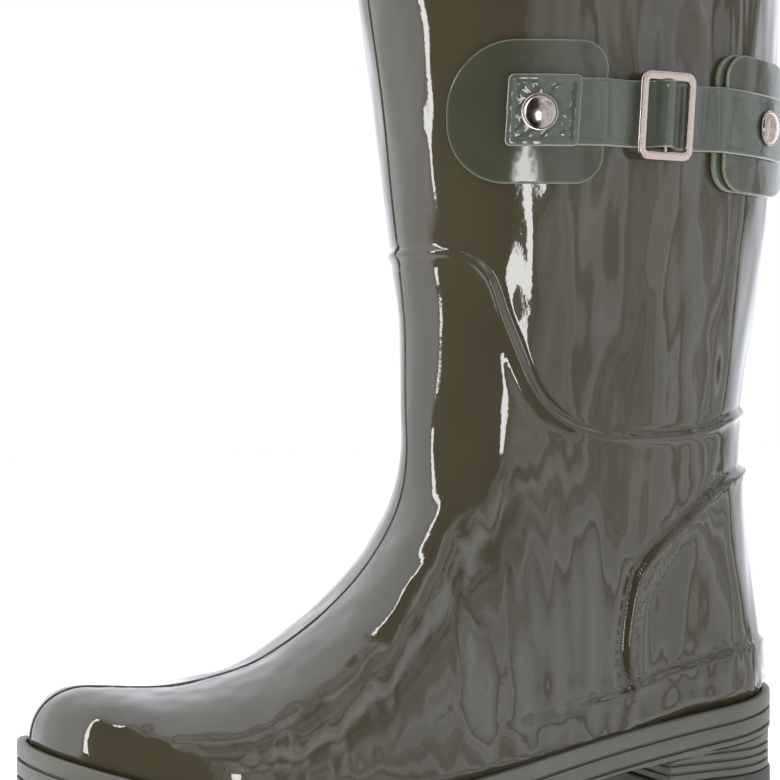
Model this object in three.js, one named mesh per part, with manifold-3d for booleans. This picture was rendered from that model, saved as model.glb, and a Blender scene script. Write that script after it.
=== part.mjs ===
// A knee-low rubber rain boot for the left foot, with a buckled side strap.
// Millimetres, +Z up, toe towards -X, outer side of the foot towards -Y.
// The origin is on the ground, under the middle of the heel.
import * as THREE from 'three';
import { mergeVertices } from 'three/addons/utils/BufferGeometryUtils.js';
import Module from 'manifold-3d';

const wasm = await Module();
wasm.setup();

// Overall sizes
const bootLength = 273.5;       // sole, back of heel to tip of toe
const bootHeight = 318;        // ground to rim
const ankleHeight = 140;       // the narrowest part of the leg
const heelCentre = 30;         // from the back of the sole to the origin
const gap = 0.3;               // between pieces that rest on each other

// Sole, as half widths and heights
const heelHalfWidth = 33;
const waistHalfWidth = 35.5;
const ballHalfWidth = 48.5;
const toeHalfWidth = 45;
const heelRound = 33;          // length of the round end at the heel
const toeRound = 66;           // length of the round end at the toe
const toeSwing = 12;           // the toe tip lies this far to the inner side
const heelSeat = 36.5;         // sole top above ground at the back
const ballSeat = 17.8;         // sole top at the ball of the foot
const toeSeat = 32.5;          // sole top at the tip, with the toe spring
const toeSpring = 17;          // tread above ground at the tip
const soleBand = 14;           // thickness of the sole edge over the heel block
const grooveStep = 5.7;        // spacing of the two edge grooves
const grooveWidth = 1.1;
const grooveDepth = 1.3;
const heelLength = 61;
const liftHeight = 7.8;
const ribPitch = 3;
const ribCount = 3;
const treadPitch = 13;
const treadWidth = 3.2;
const treadDepth = 3;
const shankWidth = 13;
const shankThick = 1.6;
const shankFrom = 34;
const shankTo = 150;
const boardThick = 1.8;
const boardInset = 8;
const coreInset = 9;

// Upper
const upperInset = 3;          // the upper stands this far inside the sole edge
const shellWall = 2.2;
const liningWall = 1.3;
const insockThick = 3.2;
const collarHeight = 22;
const collarThick = 1.5;
const toeBoxHeight = 17.5;     // crest above the sole top near the tip
const toeBoxRound = 18;
const instepBlend = 32;        // softness of the bend from foot to leg
const blendFrom = 50;          // it grows from here, measured forward from the heel
const blendLength = 80;

// Strap set on the outer side. Places along the strap are measured round the leg from its
// widest point, positive towards the front.
const strapDrop = 61.7;        // strap's middle below the collar
const strapLevel = bootHeight - collarHeight - strapDrop;
const strapWidth = 21.6;
const strapThick = 1.6;
const patchHeight = 46;
const patchLength = 52;
const patchThick = 1.9;
const frontPatchEdge = 22.5;   // the edge nearest the buckle
const rearPatchEdge = -23;
const rearLayerStep = 3;       // the lower rear layer shows by this much
const strapPlay = 1.2;         // room for the strap in the buckle, and round it in the keeper
const keeperSize = strapWidth + strapPlay;
const keeperThick = 1.4;
const keeperPlace = 43.3;
const frontRivetPlace = 44.5;
const rearRivetPlace = -43.5;
const strapFrontEnd = 52;
const strapRearEnd = -61;
const rivetRadius = 6;
const rivetRise = 2.6;
const postRadius = 1.9;
const postFit = 0.35;
const bucklePlace = 3;
const buckleLength = 21;
const buckleBar = 3.1;
const buckleHeight = strapWidth + 2 * buckleBar + strapPlay;
const buckleThick = 2.2;
const buckleLift = 4.5;        // underside above the leg
const barRadius = 0.8;

// Resolution of the upper's surfaces
const outerRings = [12, 10, 8];
const outerSides = 28;
const innerRings = [8, 7, 6];
const innerSides = 20;

// ---------- curves ----------

// A natural cubic spline through a few [place, value] knots, level beyond its ends
function curve(knots) {
  const n = knots.length;
  const bend = new Array(n).fill(0);
  const carry = new Array(n).fill(0);
  for (let i = 1; i < n - 1; i++) {
    const before = knots[i][0] - knots[i - 1][0];
    const after = knots[i + 1][0] - knots[i][0];
    const share = before / (before + after);
    const pivot = share * bend[i - 1] + 2;
    const rise = (knots[i + 1][1] - knots[i][1]) / after - (knots[i][1] - knots[i - 1][1]) / before;
    bend[i] = (share - 1) / pivot;
    carry[i] = (6 * rise / (before + after) - share * carry[i - 1]) / pivot;
  }
  for (let i = n - 2; i >= 0; i--) bend[i] = bend[i] * bend[i + 1] + carry[i];
  bend[n - 1] = 0;
  return place => {
    const p = Math.min(Math.max(place, knots[0][0]), knots[n - 1][0]);
    let i = 0;
    while (i < n - 2 && p > knots[i + 1][0]) i++;
    const span = knots[i + 1][0] - knots[i][0];
    const a = (knots[i + 1][0] - p) / span;
    const b = 1 - a;
    return a * knots[i][1] + b * knots[i + 1][1]
      + ((a ** 3 - a) * bend[i] + (b ** 3 - b) * bend[i + 1]) * span * span / 6;
  };
}

const ease = share => {
  const s = Math.min(Math.max(share, 0), 1);
  return s * s * (3 - 2 * s);
};

// Places along the foot are measured forward from the back of the sole
const along = share => share * bootLength;
const X = place => heelCentre - place;

const plainWidth = curve([
  [0, heelHalfWidth], [along(0.2), heelHalfWidth + 0.3], [along(0.37), waistHalfWidth + 1],
  [along(0.55), ballHalfWidth - 4], [along(0.7), ballHalfWidth], [along(0.84), ballHalfWidth - 0.7],
  [bootLength, toeHalfWidth],
]);
const midLine = curve([
  [0, 0], [along(0.33), -1], [along(0.55), -5], [along(0.7), -3.5], [along(0.85), 3],
  [bootLength, toeSwing],
]);
const seat = curve([
  [0, heelSeat], [along(0.25), heelSeat - 8], [along(0.45), ballSeat + 3.9], [along(0.6), ballSeat + 0.5],
  [along(0.72), ballSeat], [along(0.86), ballSeat + 5.7], [bootLength, toeSeat],
]);

const roundEnd = (distance, length, power) => {
  if (distance <= 0) return 0;
  if (distance >= length) return 1;
  return (1 - (1 - distance / length) ** power) ** (1 / power);
};

// Half width of the sole outline, moved in by an inset
function halfWidth(place, inset) {
  const heel = roundEnd(place - inset, heelRound - inset, 2);
  const toe = roundEnd(bootLength - inset - place, toeRound - inset, 2.2);
  return (plainWidth(place) - inset) * Math.min(heel, toe);
}

// Leg sections are level: two half ellipses that share a width
const calf = share => ankleHeight + share * (bootHeight - ankleHeight);
const legBack = curve([
  [30, 3.2], [55, 3.6], [80, 8.2], [110, 12.8], [ankleHeight, 12.8], [calf(0.17), 7.4],
  [calf(0.34), 1.8], [calf(0.56), -0.9], [calf(0.79), -2.6], [bootHeight, -3.8],
]);
const legFront = curve([
  [30, 122], [80, 134], [110, 142], [ankleHeight, 144.3], [calf(0.17), 145], [calf(0.34), 148.5],
  [calf(0.56), 153.1], [calf(0.79), 159.1], [bootHeight, 163.5],
]);
const legSide = curve([
  [30, 29.8], [80, 32.5], [110, 36], [ankleHeight, 40], [calf(0.17), 44.5], [calf(0.34), 48.5],
  [calf(0.56), 53], [bootHeight, 57.5],
]);
const legRear = curve([
  [30, 32], [80, 38], [110, 44], [ankleHeight, 50], [calf(0.17), 60], [calf(0.34), 68],
  [calf(0.56), 75.5], [bootHeight, 83.5],
]);

function legSection(z, inset) {
  const level = Math.min(z, bootHeight);
  const rear = legRear(level);
  const middle = legBack(level) + rear;
  const front = legFront(level) - middle;
  return { middle, rear: rear - inset, front: front - inset, side: legSide(level) - inset };
}

// Distance outside the leg, negative inside it
function legField(place, y, z, inset) {
  const leg = legSection(z, inset);
  const reach = place > leg.middle ? leg.front : leg.rear;
  const s = place - leg.middle;
  const ratio = Math.hypot(s / reach, y / leg.side);
  const slope = Math.hypot(s / reach ** 2, y / leg.side ** 2);
  return slope < 1e-6 ? -leg.side : ratio * (ratio - 1) / slope;
}

const crest = curve([
  [0, 44], [along(0.08), 70], [along(0.18), 98], [along(0.3), 115], [along(0.47), 106],
  [along(0.555), 94], [along(0.62), 76.5], [along(0.68), 63.5], [along(0.73), 55.5],
  [along(0.78), 51.2], [along(0.84), 48.6], [along(0.9), 49.2], [bootLength, toeSeat + toeBoxHeight],
]);
const footPower = curve([[0, 2.6], [along(0.5), 2.4], [bootLength, 2.1]]);

function footField(place, y, z, inset) {
  const edge = upperInset + inset;
  const half = halfWidth(place, edge);
  if (half <= 0) return bootHeight;
  const floor = seat(place);
  const end = roundEnd(bootLength - edge - place, toeBoxRound, 2.3);
  const rise = (crest(place) - inset - floor) * end;
  const n = footPower(place);
  const across = Math.abs(y - midLine(place)) / half;
  const high = Math.max(z - floor, 0) / Math.max(rise, 0.5);
  const ratio = (across ** n + high ** n) ** (1 / n);
  if (ratio < 1e-4) return -half;
  const slopeAcross = (across / ratio) ** (n - 1) / half;
  const slopeUp = (high / ratio) ** (n - 1) / Math.max(rise, 0.5);
  const slope = Math.hypot(slopeAcross, slopeUp);
  return (ratio - 1) / Math.max(slope, 1e-4);
}

// The whole foot and leg, cut square a little below the sole top
function bodyField(place, y, z, inset, below) {
  const leg = legField(place, y, z, inset);
  const foot = footField(place, y, z, inset);
  const blend = Math.max(instepBlend * ease((place - blendFrom) / blendLength), 0.01);
  const mix = Math.max(blend - Math.abs(leg - foot), 0) / blend;
  const joined = Math.min(leg, foot) - mix * mix * blend / 4;
  return Math.max(joined, seat(place) - below - z);
}

// ---------- solids ----------

const vertex = (place, y, z) => new THREE.Vector3(X(place), y, z);

function toGeometry(points, triangles) {
  const geometry = new THREE.BufferGeometry();
  const numbers = points.flatMap(p => p.toArray());
  geometry.setAttribute('position', new THREE.Float32BufferAttribute(numbers, 3));
  geometry.setIndex(triangles.flat());
  return geometry;
}

function toSolid(geometry) {
  const bare = geometry.clone();
  bare.deleteAttribute('normal');
  bare.deleteAttribute('uv');
  const merged = mergeVertices(bare, 1e-4);
  return new wasm.Manifold(new wasm.Mesh({
    numProp: 3,
    vertProperties: new Float32Array(merged.attributes.position.array),
    triVerts: new Uint32Array(merged.index.array),
  }));
}

function fromSolid(solid) {
  const data = solid.getMesh();
  const geometry = new THREE.BufferGeometry();
  geometry.setAttribute('position', new THREE.BufferAttribute(data.vertProperties, 3));
  geometry.setIndex(new THREE.BufferAttribute(data.triVerts, 1));
  return geometry;
}

// Closed solid through equal rings; each end closes on its own middle point
function ringSolid(rings) {
  const sides = rings[0].length;
  const points = rings.flat();
  const triangles = [];
  for (let r = 0; r < rings.length - 1; r++) {
    for (let i = 0; i < sides; i++) {
      const j = (i + 1) % sides;
      const [a, b, c, d] = [r * sides + i, r * sides + j, (r + 1) * sides + j, (r + 1) * sides + i];
      triangles.push([a, b, c], [a, c, d]);
    }
  }
  for (const [start, flip] of [[0, true], [(rings.length - 1) * sides, false]]) {
    const middle = new THREE.Vector3();
    for (let i = 0; i < sides; i++) middle.addScaledVector(points[start + i], 1 / sides);
    points.push(middle);
    for (let i = 0; i < sides; i++) {
      const j = (i + 1) % sides;
      const pair = flip ? [start + j, start + i] : [start + i, start + j];
      triangles.push([...pair, points.length - 1]);
    }
  }
  let solid = toSolid(toGeometry(points, triangles));
  if (solid.volume() < 0) solid = toSolid(toGeometry(points, triangles.map(([a, b, c]) => [a, c, b])));
  return solid;
}

// Cutting planes through the upper: upright in the foot, fanned round the heel, level in the leg
const fanPlace = 170;
const fanLevel = ankleHeight + 10;
const fanReach = 100;
const fanFoot = fanPlace - fanReach;

function cuttingPlanes(counts, tip, top) {
  const planes = [];
  for (let i = 0; i < counts[0]; i++) {
    const share = (i / counts[0]) ** 1.55;
    const place = tip - (tip - fanPlace) * share;
    planes.push({ place, z: seat(place) + 4, tilt: Math.PI / 2 });
  }
  for (let i = 0; i <= counts[1]; i++) {
    const tilt = Math.PI / 2 * (1 - i / counts[1]);
    planes.push({
      place: fanPlace - fanReach * Math.cos(tilt), z: fanLevel - fanReach * Math.sin(tilt), tilt,
    });
  }
  for (let i = 1; i <= counts[2]; i++) {
    const z = fanLevel + (top - fanLevel) * i / counts[2];
    planes.push({ place: fanFoot + 6, z, tilt: 0 });
  }
  return planes;
}

// How far a ray goes before it leaves the body
function reach(from, direction, inset, below, limit) {
  let near = 0;
  let far = limit;
  for (let i = 0; i < 30; i++) {
    const middle = (near + far) / 2;
    const field = bodyField(from[0] + direction[0] * middle, from[1] + direction[1] * middle,
      from[2] + direction[2] * middle, inset, below);
    if (field < 0) near = middle;
    else far = middle;
  }
  return near;
}

function bodyRing(plane, sides, inset, below) {
  const rise = [Math.cos(plane.tilt), 0, Math.sin(plane.tilt)];
  const start = [plane.place, midLine(plane.place) * (plane.tilt > 1 ? 1 : 0), plane.z];
  const ahead = reach(start, rise, inset, below, 130);
  const back = reach(start, rise.map(v => -v), inset, below, 130);
  const shift = (ahead - back) / 2;
  const half = (ahead + back) / 2;
  const centre = start.map((v, i) => v + rise[i] * shift);
  const width = reach(centre, [0, 1, 0], inset, below, 90);
  const ring = [];
  for (let i = 0; i < sides; i++) {
    const angle = 2 * Math.PI * i / sides;
    const direction = rise.map(v => v * Math.cos(angle) * half);
    direction[1] = Math.sin(angle) * width;
    const far = reach(centre, direction, inset, below, 2.2);
    ring.push(vertex(...centre.map((v, k) => v + direction[k] * far)));
  }
  return ring;
}

const bodySolid = (planes, sides, inset) => ringSolid(planes.map(plane => bodyRing(plane, sides, inset, 12)));

// A slab across the boot between two heights that vary along the foot
function slab(from, to, low, high, steps, half = 80) {
  const outline = [];
  for (let i = 0; i <= steps; i++) outline.push([from + (to - from) * i / steps, low]);
  for (let i = steps; i >= 0; i--) outline.push([from + (to - from) * i / steps, high]);
  const shape = new THREE.Shape(outline.map(([place, height]) => new THREE.Vector2(X(place), height(place))));
  const geometry = new THREE.ExtrudeGeometry(shape, { depth: 2 * half, bevelEnabled: false, steps: 1 });
  geometry.rotateX(Math.PI / 2);
  geometry.translate(0, half, 0);
  return toSolid(geometry);
}

// The same, along the whole foot
const footSlab = (low, high) => slab(-24, bootLength + 24, low, high, 36);

// An upright prism on the sole outline, from one place to another
function outlinePrism(inset, low, high, from = 0, to = bootLength) {
  const first = Math.max(from, inset);
  const last = Math.min(to, bootLength - inset);
  const steps = 22;
  const places = [];
  for (let i = 0; i <= steps; i++) {
    places.push(first + (last - first) * (1 - Math.cos(Math.PI * i / steps)) / 2);
  }
  const side = sign => places.map(p => new THREE.Vector2(X(p), midLine(p) + sign * halfWidth(p, inset)));
  const shape = new THREE.Shape([...side(-1), ...side(1).reverse()].filter((p, i, all) =>
    p.distanceTo(all[(i + 1) % all.length]) > 0.01));
  const geometry = new THREE.ExtrudeGeometry(shape, { depth: high - low, bevelEnabled: false, steps: 1 });
  geometry.translate(0, 0, low);
  return toSolid(geometry);
}

function block(place, y, z, length, width, height) {
  const geometry = new THREE.BoxGeometry(length, width, height);
  geometry.translate(X(place), y, z);
  return toSolid(geometry);
}

// ---------- the leg's outer surface, for what is fastened to it ----------

// A point at a distance round the leg from its side line, at a height, held off the surface
function legPoint(round, z, off) {
  const leg = legSection(z, 0);
  const ahead = legSection(strapLevel, 0).middle - leg.middle;
  const lengthAt = angle => (angle > 0 ? leg.front : leg.rear);
  const pieces = 24;
  let angle = Math.asin(ahead / lengthAt(ahead));
  for (let i = 0; i < pieces; i++) {
    angle += round / pieces / Math.hypot(lengthAt(angle) * Math.cos(angle), leg.side * Math.sin(angle));
  }
  const reachHere = lengthAt(angle);
  const normal = new THREE.Vector2(leg.side * Math.sin(angle), reachHere * Math.cos(angle)).normalize();
  return vertex(
    leg.middle + reachHere * Math.sin(angle) + normal.x * off,
    -leg.side * Math.cos(angle) - normal.y * off, z);
}

// Up the leg's surface, and straight out of it, at the strap's level
const legRise = round =>
  legPoint(round, strapLevel + 5, 0).sub(legPoint(round, strapLevel - 5, 0)).normalize();
const legNormal = round => legRise(round)
  .cross(legPoint(round + 1, strapLevel, 0).sub(legPoint(round - 1, strapLevel, 0))).normalize();

// A plate wrapped on the leg: an outline in round-the-leg and height, between two distances off it
function wrappedPlate(outline, low, high, loops = 4) {
  const middle = outline.reduce((sum, p) => sum.add(p), new THREE.Vector2()).divideScalar(outline.length);
  const loop = (share, off) => outline.map(p => {
    const q = middle.clone().lerp(p, share);
    return legPoint(q.x, q.y, off);
  });
  const rings = [];
  for (let i = 1; i <= loops; i++) rings.push(loop(i / loops, low));
  for (let i = loops; i >= 1; i--) rings.push(loop(i / loops, high));
  return ringSolid(rings);
}

const longestEdge = 8;

function roundedOutline(left, right, low, high, leftRadius, rightRadius, cornerSteps = 4) {
  const corners = [
    [right - rightRadius, high - rightRadius, rightRadius, 0],
    [left + leftRadius, high - leftRadius, leftRadius, 1],
    [left + leftRadius, low + leftRadius, leftRadius, 2],
    [right - rightRadius, low + rightRadius, rightRadius, 3],
  ];
  const points = [];
  for (const [x, y, radius, quarter] of corners) {
    for (let i = 0; i <= cornerSteps; i++) {
      const angle = Math.PI / 2 * (quarter + i / cornerSteps);
      points.push(new THREE.Vector2(x + radius * Math.cos(angle), y + radius * Math.sin(angle)));
    }
  }
  const kept = points.filter((p, i) => p.distanceTo(points[(i + 1) % points.length]) > 0.05);
  return kept.flatMap((p, i) => {
    const next = kept[(i + 1) % kept.length];
    const parts = Math.ceil(p.distanceTo(next) / longestEdge);
    return Array.from({ length: parts }, (_, k) => p.clone().lerp(next, k / parts));
  });
}

// ---------- distances off the leg, layer by layer ----------

const patchBase = gap;
const patchTop = patchBase + patchThick;
const rearTopBase = patchTop + gap;
const rearTopThick = 1.5;
const rearTop = rearTopBase + rearTopThick;
const strapOnPatch = patchTop + gap;
const strapOnRear = rearTop + gap;
const strapFree = 1.1;
const strapOverBar = buckleLift + buckleThick / 2 + barRadius + gap;
const keeperBase = strapOnPatch + strapThick + gap;
const easeLength = 9;

// Distance of the strap's underside off the leg, along its run
function strapOff(round) {
  const front = (strapOnPatch - strapFree) * ease((round - frontPatchEdge + easeLength - 1) / easeLength);
  const rearEdge = rearPatchEdge + rearLayerStep;
  const rear = (strapOnRear - strapFree) * ease((rearEdge + easeLength - 0.6 - round) / easeLength);
  const window = (buckleLength / 2 - buckleBar) * 0.9;
  const bump = Math.max(1 - ((round - bucklePlace) / window) ** 2, 0) ** 2;
  return strapFree + front + rear + (strapOverBar - strapFree) * bump;
}

// ---------- pieces ----------

const finish = {
  upper: [0x5d5848, 0.12, 0], lining: [0x8b8a80, 0.95, 0], collar: [0x565142, 0.18, 0],
  patch: [0x4c5244, 0.3, 0], strap: [0x50564a, 0.3, 0], metal: [0xb3a49a, 0.28, 1],
  sole: [0x5f5f57, 0.75, 0], lift: [0x56564e, 0.8, 0], board: [0x9b7f55, 0.9, 0],
  steel: [0x8d9195, 0.4, 1], foam: [0x3c3d3a, 0.95, 0], core: [0xa88a5c, 0.9, 0],
};

const boot = new THREE.Group();

function addPiece(name, solid, look) {
  const [color, roughness, metalness] = finish[look];
  const material = new THREE.MeshStandardMaterial({ color, roughness, metalness });
  const mesh = new THREE.Mesh(solid.getMesh ? fromSolid(solid) : solid, material);
  mesh.name = name;
  boot.add(mesh);
}

// A cylinder through everything at a rivet
function rivetHole(round) {
  const geometry = new THREE.CylinderGeometry(postRadius + postFit, postRadius + postFit, 40, 16);
  return toSolid(placeOnLeg(geometry, round, 0));
}

// Turns a shape made on the Y axis to stand out of the leg
function placeOnLeg(geometry, round, off) {
  const turn = new THREE.Quaternion().setFromUnitVectors(
    new THREE.Vector3(0, 1, 0), legNormal(round));
  geometry.applyQuaternion(turn);
  const at = legPoint(round, strapLevel, 0).addScaledVector(legNormal(round), off);
  geometry.translate(at.x, at.y, at.z);
  return geometry;
}

const frontHole = rivetHole(frontRivetPlace);
const rearHole = rivetHole(rearRivetPlace);
const drill = solid => solid.subtract(frontHole).subtract(rearHole);
const soleSkin = depth => footSlab(() => -60, place => seat(place) + gap + depth);

const upperTip = bootLength - upperInset - 0.6;
const outerPlanes = cuttingPlanes(outerRings, upperTip, bootHeight);
const liningSkin = shellWall + gap;
const innerPlanes = cuttingPlanes(innerRings, upperTip - liningSkin - liningWall, bootHeight + 4);

// The body's surface moved in by a depth, with its own floor
const innerBody = depth => bodySolid(innerPlanes, innerSides, depth).subtract(soleSkin(depth));

function makeUpper() {
  const outer = bodySolid(outerPlanes, outerSides, 0).subtract(soleSkin(0));
  return drill(outer.subtract(innerBody(shellWall)));
}

function makeLining() {
  const aboveRim = footSlab(() => bootHeight - 2, () => bootHeight + 60);
  const skin = innerBody(liningSkin).subtract(innerBody(liningSkin + liningWall));
  return drill(skin.subtract(aboveRim));
}

function makeCollar() {
  const ring = (z, off) => {
    const leg = legSection(z, -off);
    return Array.from({ length: outerSides }, (_, i) => {
      const angle = 2 * Math.PI * i / outerSides;
      const length = Math.cos(angle) > 0 ? leg.front : leg.rear;
      return vertex(leg.middle + length * Math.cos(angle), leg.side * Math.sin(angle), z);
    });
  };
  const levels = [bootHeight - collarHeight, bootHeight - collarHeight / 2, bootHeight];
  const outer = ringSolid(levels.map(z => ring(z, gap + collarThick)));
  const inner = ringSolid([levels[0] - 2, levels[1], bootHeight + 2].map(z => ring(z, gap)));
  return outer.subtract(inner);
}

const underside = curve([
  [0, heelSeat - soleBand], [heelLength, seat(heelLength) - soleBand],
  [along(0.37), seat(along(0.37)) - soleBand],
  [along(0.47), 2.2], [along(0.52), -0.3], [along(0.6), -1], [along(0.75), -0.8], [along(0.82), 0.4],
  [along(0.9), 5.5], [bootLength, toeSpring],
]);

function edgeGroove(inset, centre, from = 0, to = bootLength) {
  const band = footSlab(p => centre(p) - grooveWidth / 2, p => centre(p) + grooveWidth / 2);
  const ring = outlinePrism(inset - 3, -5, 60, from - 3, to + 3)
    .subtract(outlinePrism(inset + grooveDepth, -6, 61, from, to));
  return ring.intersect(band);
}

function makeOutsole() {
  const floor = p => (p > heelLength + 8 ? Math.max(underside(p), 0) : seat(p) - soleBand);
  let sole = outlinePrism(0, -5, 60).intersect(footSlab(floor, seat));
  for (const row of [1, 2]) sole = sole.subtract(edgeGroove(0, p => seat(p) - row * grooveStep));
  for (let place = along(0.53) + treadPitch / 2; place < along(0.86); place += treadPitch) {
    const depth = Math.max(underside(place), 0) + treadDepth;
    sole = sole.subtract(block(place, 0, depth - 15, treadWidth, 160, 30));
  }
  const recess = outlinePrism(boardInset - gap, -5, 60)
    .intersect(footSlab(p => seat(p) - boardThick - 2 * gap, p => seat(p) + 5));
  return sole.subtract(recess).subtract(shankBody(gap));
}

function shankBody(room) {
  const top = p => seat(p) - boardThick - 3 * gap;
  const low = p => top(p) - shankThick - room;
  const high = p => top(p) + 2 * room;
  return slab(shankFrom - room, shankTo + room, low, high, 14, shankWidth / 2 + room);
}

function makeBoard() {
  return outlinePrism(boardInset, -5, 60)
    .intersect(footSlab(p => seat(p) - boardThick - gap, p => seat(p) - gap));
}

const heelTop = p => seat(p) - soleBand - gap;

function makeHeelBlock() {
  let heel = outlinePrism(0.6, liftHeight + gap, 60, 0, heelLength)
    .intersect(footSlab(() => 0, heelTop));
  for (let row = 0; row < ribCount; row++) {
    heel = heel.subtract(edgeGroove(0.6, () => liftHeight + gap + ribPitch * (row + 1), 0, heelLength));
  }
  return heel.subtract(heelCore(gap));
}

function heelCore(room) {
  return outlinePrism(coreInset - room, liftHeight + 2.2 - room, 60, coreInset, heelLength - coreInset + room)
    .intersect(footSlab(() => 0, p => heelTop(p) + (room > 0 ? 5 : 0)));
}

function makeHeelLift() {
  let lift = outlinePrism(0, 0, liftHeight, 0, heelLength + 0.6);
  for (const share of [0.23, 0.75]) {
    lift = lift.subtract(block(share * heelLength, 0, 0, treadWidth, 160, 2 * treadDepth));
  }
  return lift;
}

function makeInsock() {
  const skin = liningSkin + liningWall + gap;
  return innerBody(skin).intersect(footSlab(() => 0, p => seat(p) + gap + skin + insockThick));
}

function makePatch(edge, length, off, thick, roundRear) {
  const low = strapLevel - patchHeight / 2;
  const high = strapLevel + patchHeight / 2;
  const big = patchHeight / 2 - 1.5;
  const small = 9;
  const outline = roundRear
    ? roundedOutline(edge - length, edge, low, high, big, small)
    : roundedOutline(edge, edge + length, low, high, small, big);
  return drill(wrappedPlate(outline, off, off + thick));
}

function makeKeeper() {
  const half = keeperSize / 2;
  const outline = roundedOutline(keeperPlace - half, keeperPlace + half, strapLevel - half,
    strapLevel + half, 1.8, 1.8, 3);
  return drill(wrappedPlate(outline, keeperBase, keeperBase + keeperThick, 3));
}

function makeStrap() {
  const steps = 74;
  const rings = [];
  for (let i = 0; i <= steps; i++) {
    const round = strapFrontEnd + (strapRearEnd - strapFrontEnd) * i / steps;
    const tip = roundEnd(round - strapRearEnd + 0.8, 9, 2);
    const half = strapWidth / 2 * (0.25 + 0.75 * tip);
    const off = strapOff(round);
    rings.push([[-half, off], [half, off], [half, off + strapThick], [-half, off + strapThick]]
      .map(([h, d]) => legPoint(round, strapLevel + h, d)));
  }
  return drill(ringSolid(rings));
}

function roundedRectangle(target, width, height, radius) {
  const [w, h] = [width / 2, height / 2];
  target.moveTo(-w + radius, -h);
  target.lineTo(w - radius, -h);
  target.absarc(w - radius, -h + radius, radius, -Math.PI / 2, 0, false);
  target.lineTo(w, h - radius);
  target.absarc(w - radius, h - radius, radius, 0, Math.PI / 2, false);
  target.lineTo(-w + radius, h);
  target.absarc(-w + radius, h - radius, radius, Math.PI / 2, Math.PI, false);
  target.lineTo(-w, -h + radius);
  target.absarc(-w + radius, -h + radius, radius, Math.PI, 1.5 * Math.PI, false);
  return target;
}

// The buckle lies flat across the leg, its centre bar upright
function makeBuckle() {
  const outline = roundedRectangle(new THREE.Shape(), buckleLength, buckleHeight, 3.8);
  const [long, high] = [buckleLength, buckleHeight].map(size => size - 2 * buckleBar);
  outline.holes.push(roundedRectangle(new THREE.Path(), long, high, 1.9));
  const frame = new THREE.ExtrudeGeometry(outline, {
    depth: buckleThick - 0.8, bevelEnabled: true, bevelThickness: 0.4, bevelSize: 0.4, bevelOffset: -0.4,
    bevelSegments: 1, curveSegments: 5,
  });
  frame.translate(0, 0, 0.4);
  const bar = new THREE.CylinderGeometry(barRadius, barRadius, buckleHeight - buckleBar, 10);
  bar.translate(0, 0, buckleThick / 2);
  const solid = toSolid(frame).add(toSolid(bar));
  const geometry = fromSolid(solid);
  const out = legNormal(bucklePlace);
  const rise = legRise(bucklePlace);
  const side = new THREE.Vector3().crossVectors(rise, out).normalize();
  geometry.applyMatrix4(new THREE.Matrix4().makeBasis(side, rise, out));
  const at = legPoint(bucklePlace, strapLevel, buckleLift);
  geometry.translate(at.x, at.y, at.z);
  return toSolid(geometry);
}

const washerDepth = shellWall + liningWall + 3 * gap + 0.5;
const washerThick = 0.8;

function makeRivet(round, seatOff) {
  const length = seatOff + washerDepth + washerThick;
  const profile = [
    [0, -length], [postRadius, -length], [postRadius, 0], [rivetRadius - 0.4, 0], [rivetRadius, 0.5],
  ];
  for (let i = 1; i <= 5; i++) {
    const angle = Math.PI / 2 * i / 5;
    profile.push([rivetRadius * Math.cos(angle), 0.5 + (rivetRise - 0.5) * Math.sin(angle)]);
  }
  profile[profile.length - 1][0] = 0;
  const lathe = new THREE.LatheGeometry(profile.map(([x, y]) => new THREE.Vector2(x, y)), 20);
  return positive(placeOnLeg(lathe, round, seatOff));
}

function makeWasher(round) {
  const inner = postRadius + postFit;
  const outer = rivetRadius - 0.8;
  const profile = [[inner, 0], [outer, 0], [outer, washerThick], [inner, washerThick], [inner, 0]];
  const lathe = new THREE.LatheGeometry(profile.map(([x, y]) => new THREE.Vector2(x, y)), 20);
  return positive(placeOnLeg(lathe, round, -washerDepth - washerThick));
}

function positive(geometry) {
  const solid = toSolid(geometry);
  if (solid.volume() > 0) return solid;
  const turned = geometry.clone();
  const order = Array.from(turned.index.array);
  for (let i = 0; i < order.length; i += 3) [order[i + 1], order[i + 2]] = [order[i + 2], order[i + 1]];
  turned.setIndex(order);
  return toSolid(turned);
}

addPiece('upper_shell', makeUpper(), 'upper');
addPiece('textile_lining', makeLining(), 'lining');
addPiece('collar_band', makeCollar(), 'collar');
addPiece('outsole', makeOutsole(), 'sole');
addPiece('heel_block', makeHeelBlock(), 'sole');
addPiece('heel_top_lift', makeHeelLift(), 'lift');
addPiece('heel_core', heelCore(0), 'core');
addPiece('insole_board', makeBoard(), 'board');
addPiece('steel_shank', shankBody(0), 'steel');
addPiece('removable_insock', makeInsock(), 'foam');
addPiece('front_patch', makePatch(frontPatchEdge, patchLength, patchBase, patchThick, false), 'patch');
addPiece('keeper_plate', makeKeeper(), 'patch');
addPiece('side_strap', makeStrap(), 'strap');
addPiece('strap_buckle', makeBuckle(), 'metal');
addPiece('rear_patch_base',
  makePatch(rearPatchEdge + rearLayerStep, patchLength, patchBase, patchThick, true), 'patch');
addPiece('rear_patch_top',
  makePatch(rearPatchEdge, patchLength - rearLayerStep, rearTopBase, rearTopThick, true), 'patch');
addPiece('front_rivet', makeRivet(frontRivetPlace, keeperBase + keeperThick + gap), 'metal');
addPiece('front_rivet_washer', makeWasher(frontRivetPlace), 'metal');
addPiece('rear_rivet', makeRivet(rearRivetPlace, strapOnRear + strapThick + gap), 'metal');
addPiece('rear_rivet_washer', makeWasher(rearRivetPlace), 'metal');

export default boot;
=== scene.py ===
import math

import bmesh
import bpy
import numpy as np
from mathutils import Matrix, Vector


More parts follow.
